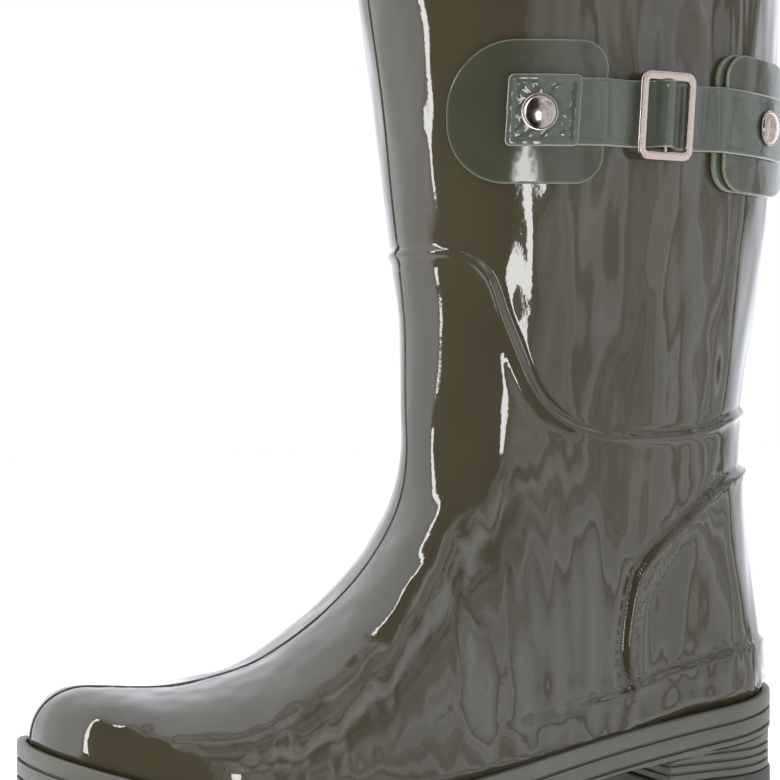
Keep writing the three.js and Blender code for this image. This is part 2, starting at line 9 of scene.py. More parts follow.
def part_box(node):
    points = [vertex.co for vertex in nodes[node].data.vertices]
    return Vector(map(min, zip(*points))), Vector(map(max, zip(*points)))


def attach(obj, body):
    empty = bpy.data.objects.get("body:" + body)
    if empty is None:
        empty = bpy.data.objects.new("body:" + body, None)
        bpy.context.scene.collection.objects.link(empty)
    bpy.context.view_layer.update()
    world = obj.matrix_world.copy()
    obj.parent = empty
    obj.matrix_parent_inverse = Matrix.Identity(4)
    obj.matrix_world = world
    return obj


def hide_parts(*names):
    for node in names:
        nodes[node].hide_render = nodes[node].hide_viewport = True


# A left rubber rain boot. Places are in millimetres, measured forward from the back of the
# sole; +Z is up and -Y is the outer side of the foot. Meshes are turned to metres at the end.
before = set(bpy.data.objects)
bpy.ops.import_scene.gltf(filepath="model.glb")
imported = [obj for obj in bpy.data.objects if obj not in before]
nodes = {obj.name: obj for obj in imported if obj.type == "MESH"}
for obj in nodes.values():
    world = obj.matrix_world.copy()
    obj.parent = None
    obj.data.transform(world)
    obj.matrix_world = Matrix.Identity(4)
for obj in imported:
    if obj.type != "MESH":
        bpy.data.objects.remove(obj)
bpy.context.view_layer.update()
mm = 0.001

studio = {
    "cameraAt": (-373.6, -543.8, 144.0),
    "cameraTurn": -25.0,  # degrees from looking along +Y, towards +X
    "lens": 81.5,
    "middle": -0.06,  # x of the boot's middle, in metres
    "floorSize": 6.0,  # metres
    "floorColour": "f4f4f2",
    "floorGlow": 0.25,
    "roomColour": "f2f6ff",
    "clutterScale": (3.0, 3.0, 1.1),
    "clutterDetail": {"Scale": 1.6, "Detail": 4.0, "Distortion": 0.8},
    "clutterFrom": (0.38, 0.66),  # the part of the noise that is stretched from low to high
    "dark": 0.025,  # the unlit side of the room
    "sideEdge": (-0.37, -0.31),  # x of a direction where the half lit side begins
    "sideLow": 0.2,  # the half lit side, which is cluttered
    "sideHigh": 2.3,
    "behindEdge": (-0.06, 0.06),  # y of a direction where the bright side begins
    "bright": 2.2,
}


def linear(colour):
    parts = [int(colour[i : i + 2], 16) / 255 for i in (0, 2, 4)]
    return [c / 12.92 if c <= 0.04045 else ((c + 0.055) / 1.055) ** 2.4 for c in parts] + [1]


# settings are sockets or properties by name; links are socket: (node, output)
def addNode(tree, kind, settings=None, links=None):
    node = tree.nodes.new(kind)
    for name, value in (settings or {}).items():
        if isinstance(name, str) and hasattr(node, name):
            setattr(node, name, value)
        else:
            node.inputs[name].default_value = value
    for name, (source, output) in (links or {}).items():
        tree.links.new(source.outputs[output], node.inputs[name])
    return node


def addCamera():
    bpy.context.scene.view_settings.view_transform = "Standard"
    data = bpy.data.cameras.new("camera")
    data.lens = studio["lens"]
    data.sensor_width = 36
    data.clip_start = 0.01
    camera = bpy.data.objects.new("camera", data)
    bpy.context.scene.collection.objects.link(camera)
    camera.location = Vector(studio["cameraAt"]) * mm
    camera.rotation_euler = (math.radians(90), 0, math.radians(studio["cameraTurn"]))
    bpy.context.scene.camera = camera


# How bright the room is in a direction: white behind the boot, cluttered and half lit on the
# heel side, dark at the camera's left
def roomLevel(tree, direction):
    parts = addNode(tree, "ShaderNodeSeparateXYZ", None, {"Vector": direction})
    stretched = addNode(tree, "ShaderNodeMapping", {"Scale": studio["clutterScale"]}, {"Vector": direction})
    clutter = addNode(tree, "ShaderNodeTexNoise", studio["clutterDetail"], {"Vector": (stretched, "Vector")})
    side = addNode(tree, "ShaderNodeMapRange", {
        "From Min": studio["clutterFrom"][0], "From Max": studio["clutterFrom"][1],
        "To Min": studio["sideLow"], "To Max": studio["sideHigh"],
    }, {"Value": (clutter, "Fac")})
    edge = addNode(tree, "ShaderNodeMapRange", {
        "interpolation_type": "SMOOTHSTEP",
        "From Min": studio["sideEdge"][0], "From Max": studio["sideEdge"][1],
    }, {"Value": (parts, "X")})
    level = addNode(tree, "ShaderNodeMath", {"operation": "MULTIPLY_ADD", 2: studio["dark"]},
                    {0: (edge, "Result"), 1: (side, "Result")})
    behind = addNode(tree, "ShaderNodeMapRange", {
        "interpolation_type": "SMOOTHSTEP",
        "From Min": studio["behindEdge"][0], "From Max": studio["behindEdge"][1],
        "To Max": studio["bright"],
    }, {"Value": (parts, "Y")})
    level = addNode(tree, "ShaderNodeMath", {"operation": "MAXIMUM"},
                    {0: (level, "Value"), 1: (behind, "Result")})
    return level, "Value"


# The floor is pale; what shines in the boot is the room, carried on below its horizon
def addFloor():
    shape = bmesh.new()
    bmesh.ops.create_grid(shape, x_segments=1, y_segments=1, size=studio["floorSize"] / 2)
    mesh = bpy.data.meshes.new("floor")
    shape.to_mesh(mesh)
    shape.free()
    floor = bpy.data.objects.new("floor", mesh)
    bpy.context.scene.collection.objects.link(floor)
    material = bpy.data.materials.new("paintedFloor")
    material.use_nodes = True
    tree = material.node_tree
    shader = tree.nodes["Principled BSDF"]
    shader.inputs["Base Color"].default_value = linear(studio["floorColour"])
    shader.inputs["Roughness"].default_value = 0.8
    shader.inputs["Emission Color"].default_value = (1, 1, 1, 1)
    shader.inputs["Emission Strength"].default_value = studio["floorGlow"]
    place = addNode(tree, "ShaderNodeTexCoord")
    fromBoot = addNode(tree, "ShaderNodeVectorMath", {"operation": "SUBTRACT", 1: (studio["middle"], 0, 0)},
                       {0: (place, "Object")})
    direction = addNode(tree, "ShaderNodeVectorMath", {"operation": "NORMALIZE"}, {0: (fromBoot, "Vector")})
    room = addNode(tree, "ShaderNodeEmission", {"Color": linear(studio["roomColour"])},
                   {"Strength": roomLevel(tree, (direction, "Vector"))})
    ray = addNode(tree, "ShaderNodeLightPath")
    mixed = addNode(tree, "ShaderNodeMixShader", None, {
        0: (ray, "Is Glossy Ray"), 1: (shader, "BSDF"), 2: (room, "Emission"),
    })
    tree.links.new(mixed.outputs["Shader"], tree.nodes["Material Output"].inputs["Surface"])
    mesh.materials.append(material)


def addRoom():
    world = bpy.data.worlds.new("studio")
    bpy.context.scene.world = world
    world.use_nodes = True
    tree = world.node_tree
    tree.nodes.clear()
    direction = addNode(tree, "ShaderNodeTexCoord")
    room = addNode(tree, "ShaderNodeBackground", {"Color": linear(studio["roomColour"])},
                   {"Strength": roomLevel(tree, (direction, "Generated"))})
    white = addNode(tree, "ShaderNodeBackground", {"Color": (1, 1, 1, 1), "Strength": 1.0})
    ray = addNode(tree, "ShaderNodeLightPath")
    mixed = addNode(tree, "ShaderNodeMixShader", None, {
        0: (ray, "Is Camera Ray"), 1: (room, "Background"), 2: (white, "Background"),
    })
    addNode(tree, "ShaderNodeOutputWorld", None, {"Surface": (mixed, "Shader")})


# Each lamp: degrees from -Y towards +X, then metres: distance, lowest and highest point, width; watts
lamps = {
    "leftStrip": (-86, 1.5, 0.02, 3.40, 0.12, 19),
    "nearStrip": (-25, 0.50, 0.00, 0.18, 0.05, 0.42),
}


def addLamp(name, azimuth, distance, low, high, width, power):
    data = bpy.data.lights.new(name, "AREA")
    data.shape = "RECTANGLE"
    data.size = width
    data.size_y = high - low
    data.energy = power
    lamp = bpy.data.objects.new(name, data)
    bpy.context.scene.collection.objects.link(lamp)
    turn = math.radians(azimuth)
    out = Vector((math.sin(turn), -math.cos(turn), 0))
    centre = Vector((studio["middle"], 0, (low + high) / 2))
    lamp.location = centre + out * distance
    lamp.rotation_euler = out.to_track_quat("Z", "Y").to_euler()
    lamp.visible_camera = False


addCamera()
addFloor()
addRoom()
for lampName, lampPlace in lamps.items():
    addLamp(lampName, *lampPlace)
print("camera, floor and light are ready")

# Driving sizes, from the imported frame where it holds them
soleLow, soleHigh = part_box("outsole")
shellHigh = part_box("upper_shell")[1]
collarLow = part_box("collar_band")[0]
heelLow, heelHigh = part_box("heel_top_lift")
strapBoxLow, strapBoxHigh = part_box("side_strap")
boot = {
    "length": (soleHigh.x - soleLow.x) / mm,
    "height": shellHigh.z / mm,
    "heelCentre": soleHigh.x / mm,
    "ankle": 140.0,
    "collarLow": collarLow.z / mm,
    "heelLength": (heelHigh.x - heelLow.x) / mm - 0.6,  # the lift is that much longer than the block
    "liftHeight": heelHigh.z / mm,
    "strapLevel": (strapBoxLow.z + strapBoxHigh.z) / 2 / mm,
    "gap": 0.3,  # between pieces that only touch
    "heelHalf": 33.0,  # half widths of the sole
    "waistHalf": 35.5,
    "ballHalf": 48.5,
    "toeHalf": 45.0,
    "heelRound": 33.0,  # how far the sole's ends are rounded
    "toeRound": 66.0,
    "toeSwing": 12.0,
    "heelSeat": 36.5,  # heights of the sole's top
    "ballSeat": 17.8,
    "toeSeat": 32.5,
    "toeSpring": 17.0,
    "soleBand": 14.0,
    "upperInset": 3.0,
    "shellWall": 2.2,
    "liningWall": 1.3,
    "toeBoxHeight": 17.5,
    "toeBoxRound": 18.0,
    "instepBlend": 32.0,  # how softly the leg runs into the foot, and where that begins
    "blendFrom": 50.0,
    "blendLength": 80.0,
    "floorDrop": 14.0,  # the upper's skin is closed this far under the sole top, then trimmed
}


# A natural cubic spline through a few knots, level beyond its ends
def curve(knots):
    at, value = (np.array(column, float) for column in zip(*knots))
    span = np.diff(at)
    matrix, rise = np.eye(len(at)), np.zeros(len(at))
    for i in range(1, len(at) - 1):
        matrix[i, i - 1 : i + 2] = span[i - 1], 2 * (span[i - 1] + span[i]), span[i]
        rise[i] = 6 * ((value[i + 1] - value[i]) / span[i] - (value[i] - value[i - 1]) / span[i - 1])
    bend = np.linalg.solve(matrix, rise)

    def read(place):
        p = np.clip(place, at[0], at[-1])
        i = np.clip(np.searchsorted(at, p, side="right") - 1, 0, len(span) - 1)
        a = (at[i + 1] - p) / span[i]
        b = 1 - a
        bulge = (a**3 - a) * bend[i] + (b**3 - b) * bend[i + 1]
        return a * value[i] + b * value[i + 1] + bulge * span[i] ** 2 / 6

    return read


def ease(share):
    s = np.clip(share, 0, 1)
    return s * s * (3 - 2 * s)


def along(share):
    return share * boot["length"]


def calf(share):
    return boot["ankle"] + share * (boot["height"] - boot["ankle"])


plainWidth = curve([
    (0, boot["heelHalf"]), (along(0.2), boot["heelHalf"] + 0.3), (along(0.37), boot["waistHalf"] + 1),
    (along(0.55), boot["ballHalf"] - 4), (along(0.7), boot["ballHalf"]),
    (along(0.84), boot["ballHalf"] - 0.7), (boot["length"], boot["toeHalf"]),
])
midLine = curve([
    (0, 0), (along(0.33), -1), (along(0.55), -5), (along(0.7), -3.5), (along(0.85), 3),
    (boot["length"], boot["toeSwing"]),
])
seat = curve([
    (0, boot["heelSeat"]), (along(0.25), boot["heelSeat"] - 8), (along(0.45), boot["ballSeat"] + 3.9),
    (along(0.6), boot["ballSeat"] + 0.5), (along(0.72), boot["ballSeat"]),
    (along(0.86), boot["ballSeat"] + 5.7), (boot["length"], boot["toeSeat"]),
])
underside = curve([
    (0, boot["heelSeat"] - boot["soleBand"]),
    (boot["heelLength"], seat(boot["heelLength"]) - boot["soleBand"]),
    (along(0.37), seat(along(0.37)) - boot["soleBand"]),
    (along(0.47), 2.2), (along(0.52), -0.3), (along(0.6), -1), (along(0.75), -0.8),
    (along(0.82), 0.4), (along(0.9), 5.5), (boot["length"], boot["toeSpring"]),
])
legBack = curve([
    (30, 3.2), (55, 3.6), (80, 8.2), (110, 12.8), (boot["ankle"], 12.8), (calf(0.17), 7.4),
    (calf(0.34), 1.8), (calf(0.56), -0.9), (calf(0.79), -2.6), (boot["height"], -3.8),
])
legFront = curve([
    (30, 122), (80, 134), (110, 142), (boot["ankle"], 144.3), (calf(0.17), 145), (calf(0.34), 148.5),
    (calf(0.56), 153.1), (calf(0.79), 159.1), (boot["height"], 163.5),
])
legSide = curve([
    (30, 29.8), (80, 32.5), (110, 36), (boot["ankle"], 40), (calf(0.17), 44.5), (calf(0.34), 48.5),
    (calf(0.56), 53), (boot["height"], 57.5),
])
legRear = curve([
    (30, 32), (80, 38), (110, 44), (boot["ankle"], 50), (calf(0.17), 60), (calf(0.34), 68),
    (calf(0.56), 75.5), (boot["height"], 83.5),
])
crest = curve([
    (0, 44), (along(0.08), 70), (along(0.18), 98), (along(0.3), 115), (along(0.47), 106),
    (along(0.555), 94), (along(0.62), 76.5), (along(0.68), 63.5), (along(0.73), 55.5),
    (along(0.78), 51.2), (along(0.84), 48.6), (along(0.9), 49.2),
    (boot["length"], boot["toeSeat"] + boot["toeBoxHeight"]),
])
footPower = curve([(0, 2.6), (along(0.5), 2.4), (boot["length"], 2.1)])


def roundEnd(distance, length, power):
    share = np.clip(distance / length, 0, 1)
    return (1 - (1 - share) ** power) ** (1 / power)


def halfWidth(place, inset, last=None, lastRound=None, lastPower=2.2):
    last = boot["length"] if last is None else last
    lastRound = boot["toeRound"] if lastRound is None else lastRound
    heel = roundEnd(place - inset, boot["heelRound"] - inset, 2)
    toe = roundEnd(last - inset - place, np.maximum(lastRound - inset, 0.5), lastPower)
    return (plainWidth(place) - inset) * np.minimum(heel, toe)


# Level sections of the leg are two half ellipses that share a width
def legSection(z, inset):
    level = np.minimum(z, boot["height"])
    rear = legRear(level)
    middle = legBack(level) + rear
    return middle, rear - inset, legFront(level) - middle - inset, legSide(level) - inset


def legField(place, y, z, inset):
    middle, rear, front, side = legSection(z, inset)
    reach = np.where(place > middle, front, rear)
    s = place - middle
    ratio = np.hypot(s / reach, y / side)
    slope = np.maximum(np.hypot(s / reach**2, y / side**2), 1e-6)
    return ratio * (ratio - 1) / slope


def footField(place, y, z, inset):
    edge = boot["upperInset"] + inset
    half = halfWidth(place, edge)
    end = roundEnd(boot["length"] - edge - place, boot["toeBoxRound"], 2.3)
    rise = np.maximum((crest(place) - inset - seat(place)) * end, 0.5)
    n = footPower(place)
    across = np.abs(y - midLine(place)) / np.maximum(half, 0.01)
    high = np.maximum(z - seat(place), 0) / rise
    ratio = np.maximum((across**n + high**n) ** (1 / n), 1e-4)
    slope = np.hypot((across / ratio) ** (n - 1) / np.maximum(half, 0.01), (high / ratio) ** (n - 1) / rise)
    return np.where(half <= 0.01, boot["height"], (ratio - 1) / np.maximum(slope, 1e-4))


# Distance outside the foot and leg, cut off under the sole top
def bodyField(place, y, z, inset, below):
    leg = legField(place, y, z, inset)
    foot = footField(place, y, z, inset)
    blend = boot["instepBlend"] * ease((place - boot["blendFrom"]) / boot["blendLength"])
    blend = np.maximum(blend, 0.01)
    mix = np.maximum(blend - np.abs(leg - foot), 0) / blend
    joined = np.minimum(leg, foot) - mix * mix * blend / 4
    return np.maximum(joined, seat(place) - below - z)


# How far out along a direction the body's surface lies, by halving
def reachOut(start, direction, inset, below, limit, halvings=26):
    near = np.zeros(len(start))
    far = np.full(len(start), float(limit))
    for _ in range(halvings):
        middle = (near + far) / 2
        point = start + direction * middle[:, None]
        inside = bodyField(*point.T, inset, below) < 0
        near = np.where(inside, middle, near)
        far = np.where(inside, far, middle)
    return near


# Where the rings turn from upright in the foot to level in the leg
fan = {"place": 170.0, "level": 150.0, "reach": 100.0}


# Rings of the body: step 0 to 1 runs from the toe tip, 1 to 2 fans round the heel, 2 to 3 goes up
def ringCentres(step, inset, below):
    tip = boot["length"] - boot["upperInset"] - inset - 0.05
    foot, turn, leg = np.clip(step, 0, 1), np.clip(step - 1, 0, 1), np.clip(step - 2, 0, 1)
    tilt = math.pi / 2 * (1 - turn)
    place = np.where(step < 1, tip - (tip - fan["place"]) * foot**1.8,
                     fan["place"] - fan["reach"] * np.cos(tilt) + 6 * leg)
    z = np.where(step < 1, seat(place) + 4, fan["level"] - fan["reach"] * np.sin(tilt)
                 + (boot["height"] - fan["level"]) * leg)
    rise = np.stack([np.cos(tilt), 0 * tilt, np.sin(tilt)], 1)
    start = np.stack([place, midLine(place) * ease(tilt / math.pi * 2), z], 1)
    ahead = reachOut(start, rise, inset, below, 150)
    back = reachOut(start, -rise, inset, below, 150)
    centre = start + rise * ((ahead - back) / 2)[:, None]
    across = np.tile([0.0, 1.0, 0.0], (len(step), 1))
    width = reachOut(centre, across, inset, below, 90)
    return np.column_stack([centre, rise, (ahead + back) / 2, width])


def ringPoint(ring, turn, inset, below, scale):
    angle = 2 * math.pi * turn
    direction = ring[:, 3:6] * (np.cos(angle) * ring[:, 6])[:, None]
    direction[:, 1] = np.sin(angle) * ring[:, 7]
    far = reachOut(ring[:, :3], direction, inset, below, 2.2)  # in ring radii
    return ring[:, :3] + direction * (far * scale)[:, None]


# A point held off the leg: distance round it from its side line, height, distance out
def legPoint(around, z, off, steps=24):
    around, z, off = np.broadcast_arrays(*(np.asarray(v, float) for v in (around, z, off)))
    middle, rear, front, side = legSection(z, 0)
    ahead = legSection(boot["strapLevel"], 0)[0] - middle
    angle = np.arcsin(ahead / np.where(ahead > 0, front, rear))
    for _ in range(steps):
        length = np.where(angle > 0, front, rear)
        angle = angle + around / steps / np.hypot(length * np.cos(angle), side * np.sin(angle))
    length = np.where(angle > 0, front, rear)
    size = np.hypot(side * np.sin(angle), length * np.cos(angle))
    ahead, out = side * np.sin(angle) / size, length * np.cos(angle) / size
    place = middle + length * np.sin(angle) + ahead * off
    return np.stack([place, -side * np.cos(angle) - out * off, z], -1)


# The leg's own directions at the strap: along it, up it and straight out of it, as columns
def legTurn(around):
    level = boot["strapLevel"]
    flip = np.array([-1, 1, 1])
    up = (legPoint(around, level + 5, 0) - legPoint(around, level - 5, 0)) * flip
    ahead = (legPoint(around + 1, level, 0) - legPoint(around - 1, level, 0)) * flip
    up = Vector(up).normalized()
    out = up.cross(Vector(ahead)).normalized()
    return Matrix((up.cross(out).normalized(), up, out)).transposed()


# From distances forward of the heel to the frame's own axes
def toModel(points):
    return points * [-1, 1, 1] + [boot["heelCentre"], 0, 0]


# A grid rolled into a closed skin; shape gives points for turns from 0 to 1 and rows from 0 up
def rolledGrid(turns, rows, shape, marks=None):
    skin = bmesh.new()
    bmesh.ops.create_grid(skin, x_segments=turns, y_segments=rows, size=0.5)
    flat = np.array([vertex.co[:] for vertex in skin.verts])
    turn, row = flat[:, 0] + 0.5, (flat[:, 1] + 0.5) * rows
    points = toModel(shape(turn, row))
    layers = {name: skin.verts.layers.float.new(name) for name in (marks or {})}
    values = {name: make(turn, row) for name, make in (marks or {}).items()}
    for i, vertex in enumerate(skin.verts):
        vertex.co = points[i]
        for name, layer in layers.items():
            vertex[layer] = values[name][i]
    bmesh.ops.remove_doubles(skin, verts=skin.verts, dist=2e-4)
    bmesh.ops.recalc_face_normals(skin, faces=skin.faces)
    return skin


def finishPiece(name, skin, material, replaced=(), body="boot", sharp=None):
    bmesh.ops.scale(skin, vec=(mm, mm, mm), verts=skin.verts)
    for face in skin.faces:
        face.smooth = True
    mesh = bpy.data.meshes.new(name)
    skin.to_mesh(mesh)
    skin.free()
    if sharp:
        mesh.set_sharp_from_angle(angle=math.radians(sharp))
    mesh.materials.append(material)
    piece = bpy.data.objects.new(name, mesh)
    bpy.context.scene.collection.objects.link(piece)
    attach(piece, body)
    if replaced:
        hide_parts(*replaced)
    print(name, len(mesh.polygons), "faces")
    return piece


def newMaterial(name, colour, settings):
    material = bpy.data.materials.new(name)
    material.use_nodes = True
    tree = material.node_tree
    shader = tree.nodes["Principled BSDF"]
    shader.inputs["Base Color"].default_value = linear(colour)
    for socket, value in settings.items():
        shader.inputs[socket].default_value = value
    return material, tree, shader


# Pattern coordinates in millimetres, stretched by a factor along each axis
def millimetres(tree, stretch=(1, 1, 1), output="Object"):
    source = addNode(tree, "ShaderNodeTexCoord")
    settings = {"Scale": [s / mm for s in stretch]}
    return addNode(tree, "ShaderNodeMapping", settings, {"Vector": (source, output)}), "Vector"


# Two colours mixed by a pattern
def mixColours(tree, shader, first, second, pattern):
    mix = addNode(tree, "ShaderNodeMix", {"data_type": "RGBA"})
    mix.inputs[6].default_value = linear(first)
    mix.inputs[7].default_value = linear(second)
    tree.links.new(pattern[0].outputs[pattern[1]], mix.inputs[0])
    tree.links.new(mix.outputs[2], shader.inputs["Base Color"])
    return mix, 2


print("shapes are ready")


# Glossy PVC, dipped in one piece: a wet shine over a deep olive brown, with slow waves in the wall
upperLook = {
    "dark": "383225", "light": "454030", "roughness": 0.05,
    "waveLength": 24.0, "waveBump": 1.5, "peelSize": 2.4, "peelBump": 0.02,
}


def glossyPvc(name, look):
    material, tree, shader = newMaterial(name, look["dark"], {"Roughness": look["roughness"], "IOR": 1.53})
    cloud = addNode(tree, "ShaderNodeTexNoise", {"Scale": 1 / look["waveLength"], "Detail": 3.0},
                    {"Vector": millimetres(tree, (1, 1, 0.4))})
    mixColours(tree, shader, look["dark"], look["light"], (cloud, "Fac"))
    wave = addNode(tree, "ShaderNodeTexNoise", {"Scale": 1 / look["waveLength"], "Detail": 1.0},
                   {"Vector": millimetres(tree, (1.6, 1.6, 0.5))})
    slow = addNode(tree, "ShaderNodeBump", {"Strength": 1.0, "Distance": look["waveBump"] * mm},
                   {"Height": (wave, "Fac")})
    peel = addNode(tree, "ShaderNodeTexNoise", {"Scale": 1 / look["peelSize"], "Detail": 2.0},
                   {"Vector": millimetres(tree)})
    fine = addNode(tree, "ShaderNodeBump", {"Strength": 1.0, "Distance": look["peelBump"] * mm},
                   {"Height": (peel, "Fac"), "Normal": (slow, "Normal")})
    tree.links.new(fine.outputs["Normal"], shader.inputs["Normal"])
    return material


# Cut PVC sheet, slightly cloudy: the body is olive green, and a lighter colour on the cut edge is a painted
# highlight
def sheetPvc(name, dark, light, edge, roughness):
    material, tree, shader = newMaterial(name, dark, {"Roughness": roughness, "IOR": 1.53})
    shader.inputs["Subsurface Weight"].default_value = 0.12
    shader.inputs["Subsurface Radius"].default_value = (0.002, 0.002, 0.001)
    cloud = addNode(tree, "ShaderNodeTexNoise", {"Scale": 1 / 18.0, "Detail": 3.0},
                    {"Vector": millimetres(tree)})
    body = mixColours(tree, shader, dark, light, (cloud, "Fac"))
    # the lighter edge colour is a painted highlight, laid where the edge attribute marks the cut edge
    rim = addNode(tree, "ShaderNodeAttribute", {"attribute_name": "edge"})
    last = addNode(tree, "ShaderNodeMix", {"data_type": "RGBA"}, {0: (rim, "Fac"), 6: body})
    last.inputs[7].default_value = linear(edge)
    tree.links.new(last.outputs[2], shader.inputs["Base Color"])
    ripple = addNode(tree, "ShaderNodeTexNoise", {"Scale": 1 / 9.0, "Detail": 2.0},
                     {"Vector": millimetres(tree)})
    bump = addNode(tree, "ShaderNodeBump", {"Strength": 1.0, "Distance": 0.22 * mm},
                   {"Height": (ripple, "Fac")})
    tree.links.new(bump.outputs["Normal"], shader.inputs["Normal"])
    return material


# Moulded rubber with a spark-etched mould skin: dull and grey-olive, with lighter dusty patches at random
def mouldedRubber(name, dark, light, roughness, grain=0.5):
    material, tree, shader = newMaterial(name, dark, {"Roughness": roughness, "Specular IOR Level": 0.4})
    cloud = addNode(tree, "ShaderNodeTexNoise", {"Scale": 1 / 14.0, "Detail": 6.0},
                    {"Vector": millimetres(tree)})
    mixColours(tree, shader, dark, light, (cloud, "Fac"))
    grit = addNode(tree, "ShaderNodeTexNoise", {"Scale": 1 / grain, "Detail": 3.0},
                   {"Vector": millimetres(tree)})
    bump = addNode(tree, "ShaderNodeBump", {"Strength": 0.6, "Distance": 0.12 * mm},
                   {"Height": (grit, "Fac")})
    tree.links.new(bump.outputs["Normal"], shader.inputs["Normal"])
    return material


# Weft-knitted polyester, matt and soft. The loop is in the map's own units, which are metres, so the
# bands only shade the cloth slowly; single loops need the map scaled to millimetres
def knittedCloth(name, dark, light, loop=1.6):
    waveTurn = 0.31416  # a wave texture's period at a scale of 1
    material, tree, shader = newMaterial(name, dark, {"Roughness": 0.92, "Sheen Weight": 0.35})
    where = millimetres(tree, (0.001, 0.001, 1), "UV")
    wales = addNode(tree, "ShaderNodeTexWave", {
        "wave_type": "BANDS", "bands_direction": "X", "Scale": waveTurn / loop, "Distortion": 0.6,
        "Detail": 1.0, "Detail Scale": 2.0,
    }, {"Vector": where})
    courses = addNode(tree, "ShaderNodeTexWave", {
        "wave_type": "BANDS", "bands_direction": "Y", "Scale": waveTurn / loop * 1.3, "Distortion": 1.2,
        "Detail": 1.0, "Detail Scale": 2.0,
    }, {"Vector": where})
    loops = addNode(tree, "ShaderNodeMath", {"operation": "MULTIPLY"},
                    {0: (wales, "Fac"), 1: (courses, "Fac")})
    mixColours(tree, shader, dark, light, (loops, "Value"))
    bump = addNode(tree, "ShaderNodeBump", {"Strength": 0.8, "Distance": 0.4 * mm},
                   {"Height": (loops, "Value")})
    tree.links.new(bump.outputs["Normal"], shader.inputs["Normal"])
    return material


# Plated metal, brushed along one direction
def brushedMetal(name, dark, light, roughness, stretch=(1, 1, 12)):
    material, tree, shader = newMaterial(name, dark, {"Roughness": roughness, "Metallic": 1.0})
    lines = addNode(tree, "ShaderNodeTexNoise", {"Scale": 1 / 0.8, "Detail": 4.0},
                    {"Vector": millimetres(tree, stretch)})
    mixColours(tree, shader, dark, light, (lines, "Fac"))
    rough = addNode(tree, "ShaderNodeMapRange", {"To Min": roughness * 0.7, "To Max": roughness * 1.4},
                    {"Value": (lines, "Fac")})
    tree.links.new(rough.outputs["Result"], shader.inputs["Roughness"])
    bump = addNode(tree, "ShaderNodeBump", {"Strength": 0.25, "Distance": 0.05 * mm},
                   {"Height": (lines, "Fac")})
    tree.links.new(bump.outputs["Normal"], shader.inputs["Normal"])
    return material


# Pressed board or filler: flecked fibres
def pressedFibre(name, dark, light):
    material, tree, shader = newMaterial(name, dark, {"Roughness": 0.9})
    flecks = addNode(tree, "ShaderNodeTexNoise", {"Scale": 1 / 1.2, "Detail": 8.0},
                     {"Vector": millimetres(tree, (0.3, 1, 1))})
    mixColours(tree, shader, dark, light, (flecks, "Fac"))
    bump = addNode(tree, "ShaderNodeBump", {"Strength": 0.5, "Distance": 0.2 * mm},
                   {"Height": (flecks, "Fac")})
    tree.links.new(bump.outputs["Normal"], shader.inputs["Normal"])
    return material


looks = {
    "upper": glossyPvc("glossyDippedPvc", upperLook),
    "collar": glossyPvc("glossyWeldedPvc", {**upperLook, "waveBump": 0.3, "roughness": 0.12}),
    # the third colour of each sheet is the painted highlight on its cut edge
    "patch": sheetPvc("cloudyCutPvc", "37372a", "434334", "7d836e", 0.13),
    "strap": sheetPvc("cloudyStrapPvc", "42463a", "50544a", "8f9683", 0.13),
    "sole": mouldedRubber("matteSoleRubber", "55534a", "626056", 0.55),
    "lift": mouldedRubber("ribbedHeelRubber", "3f3f38", "4c4c44", 0.7),
    "nickel": brushedMetal("brushedWarmNickel", "a8968b", "cbbcb0", 0.24),
    "rivet": brushedMetal("domedNickel", "8f837a", "c3b6ab", 0.2, (1, 1, 1)),
    "steel": brushedMetal("springSteel", "7d8185", "a0a4a8", 0.38),
    "knit": knittedCloth("polyesterKnit", "6f6e66", "9d9b90"),
    "insock": knittedCloth("insockKnit", "2f302d", "55564f"),
    "board": pressedFibre("pressedFibreBoard", "8a6f49", "b59769"),
    "core": pressedFibre("corkFiller", "93754b", "b8966a"),
}
print(len(looks), "materials")


# The upper. Lines raised on it are given as (forward, height) and are the same on both sides.
upper = {
    "turns": 256, "footRows": 56, "fanRows": 84, "legRows": 56, "insideRows": 34,
    "rimInsets": (0.15, 0.7, 1.5, 2.05),  # how the rim is rounded over
    "cutBelow": 2.5,  # how far the upper goes down into the sole
    "vampBead": 1.05, "vampWidth": 1.15, "vampStep": 0.55, "vampFade": 30,
    "counterStep": 1.9, "counterFade": 26, "counterBead": 0.5, "counterGroove": 0.5,
    "rearHollow": 1.25, "rearFade": 12, "lineFoot": 40,  # the counter lines start above this height
    "randStep": 1.4, "randGroove": 0.35, "randHeight": 13.5,
    "waist": 73,  # ahead of this place the rand follows the sole
    "foldRise": 0.55, "foldWidth": 1.5, "foldTop": 46,
    "hemDepth": 0.8, "hemHeelDepth": 2.0, "hemWaistDepth": 0.5,  # the turned-in lower edge
    "dentDepth": 0.16, "dentFrom": 100,
}
vampLine = [
    (-20, 140), (14, 138), (34, 133.6), (51, 129.6), (71.6, 128.1), (91.4, 129.6), (101, 133),
    (110.6, 141.4), (118, 156), (124, 171), (129, 183.3), (134.5, 188.3), (141, 190.2), (150, 190.5),
    (190, 190.5),
]
counterFront = [
    (-20, 117.5), (13, 117.5), (25, 115), (41.5, 109.8), (51.6, 101.8), (61.4, 93.1), (70.4, 82.2),
    (74.4, 69.7), (76, 60.3), (75.6, 47.7), (73.4, 42),
]
counterRear = [(46, 103), (54, 95), (62, 85), (66.5, 76), (70, 66), (71.6, 56), (72, 44)]
randLine = [(-20, 54), (10, 54), (25, 53.4), (41.5, 49.9), (59.8, 45.9), (73, 42)]
foldLine = [(72, 44), (75, 34), (76.5, 26)]


# Closer points along a line of knots, by a spline over the length along it
def smoothLine(knots, spacing=1.5):
    points = np.array(knots, float)
    length = np.concatenate([[0], np.cumsum(np.hypot(*np.diff(points, axis=0).T))])
    at = np.linspace(0, length[-1], int(length[-1] / spacing) + 2)
    return np.stack([curve(list(zip(length, points[:, k])))(at) for k in (0, 1)], 1)


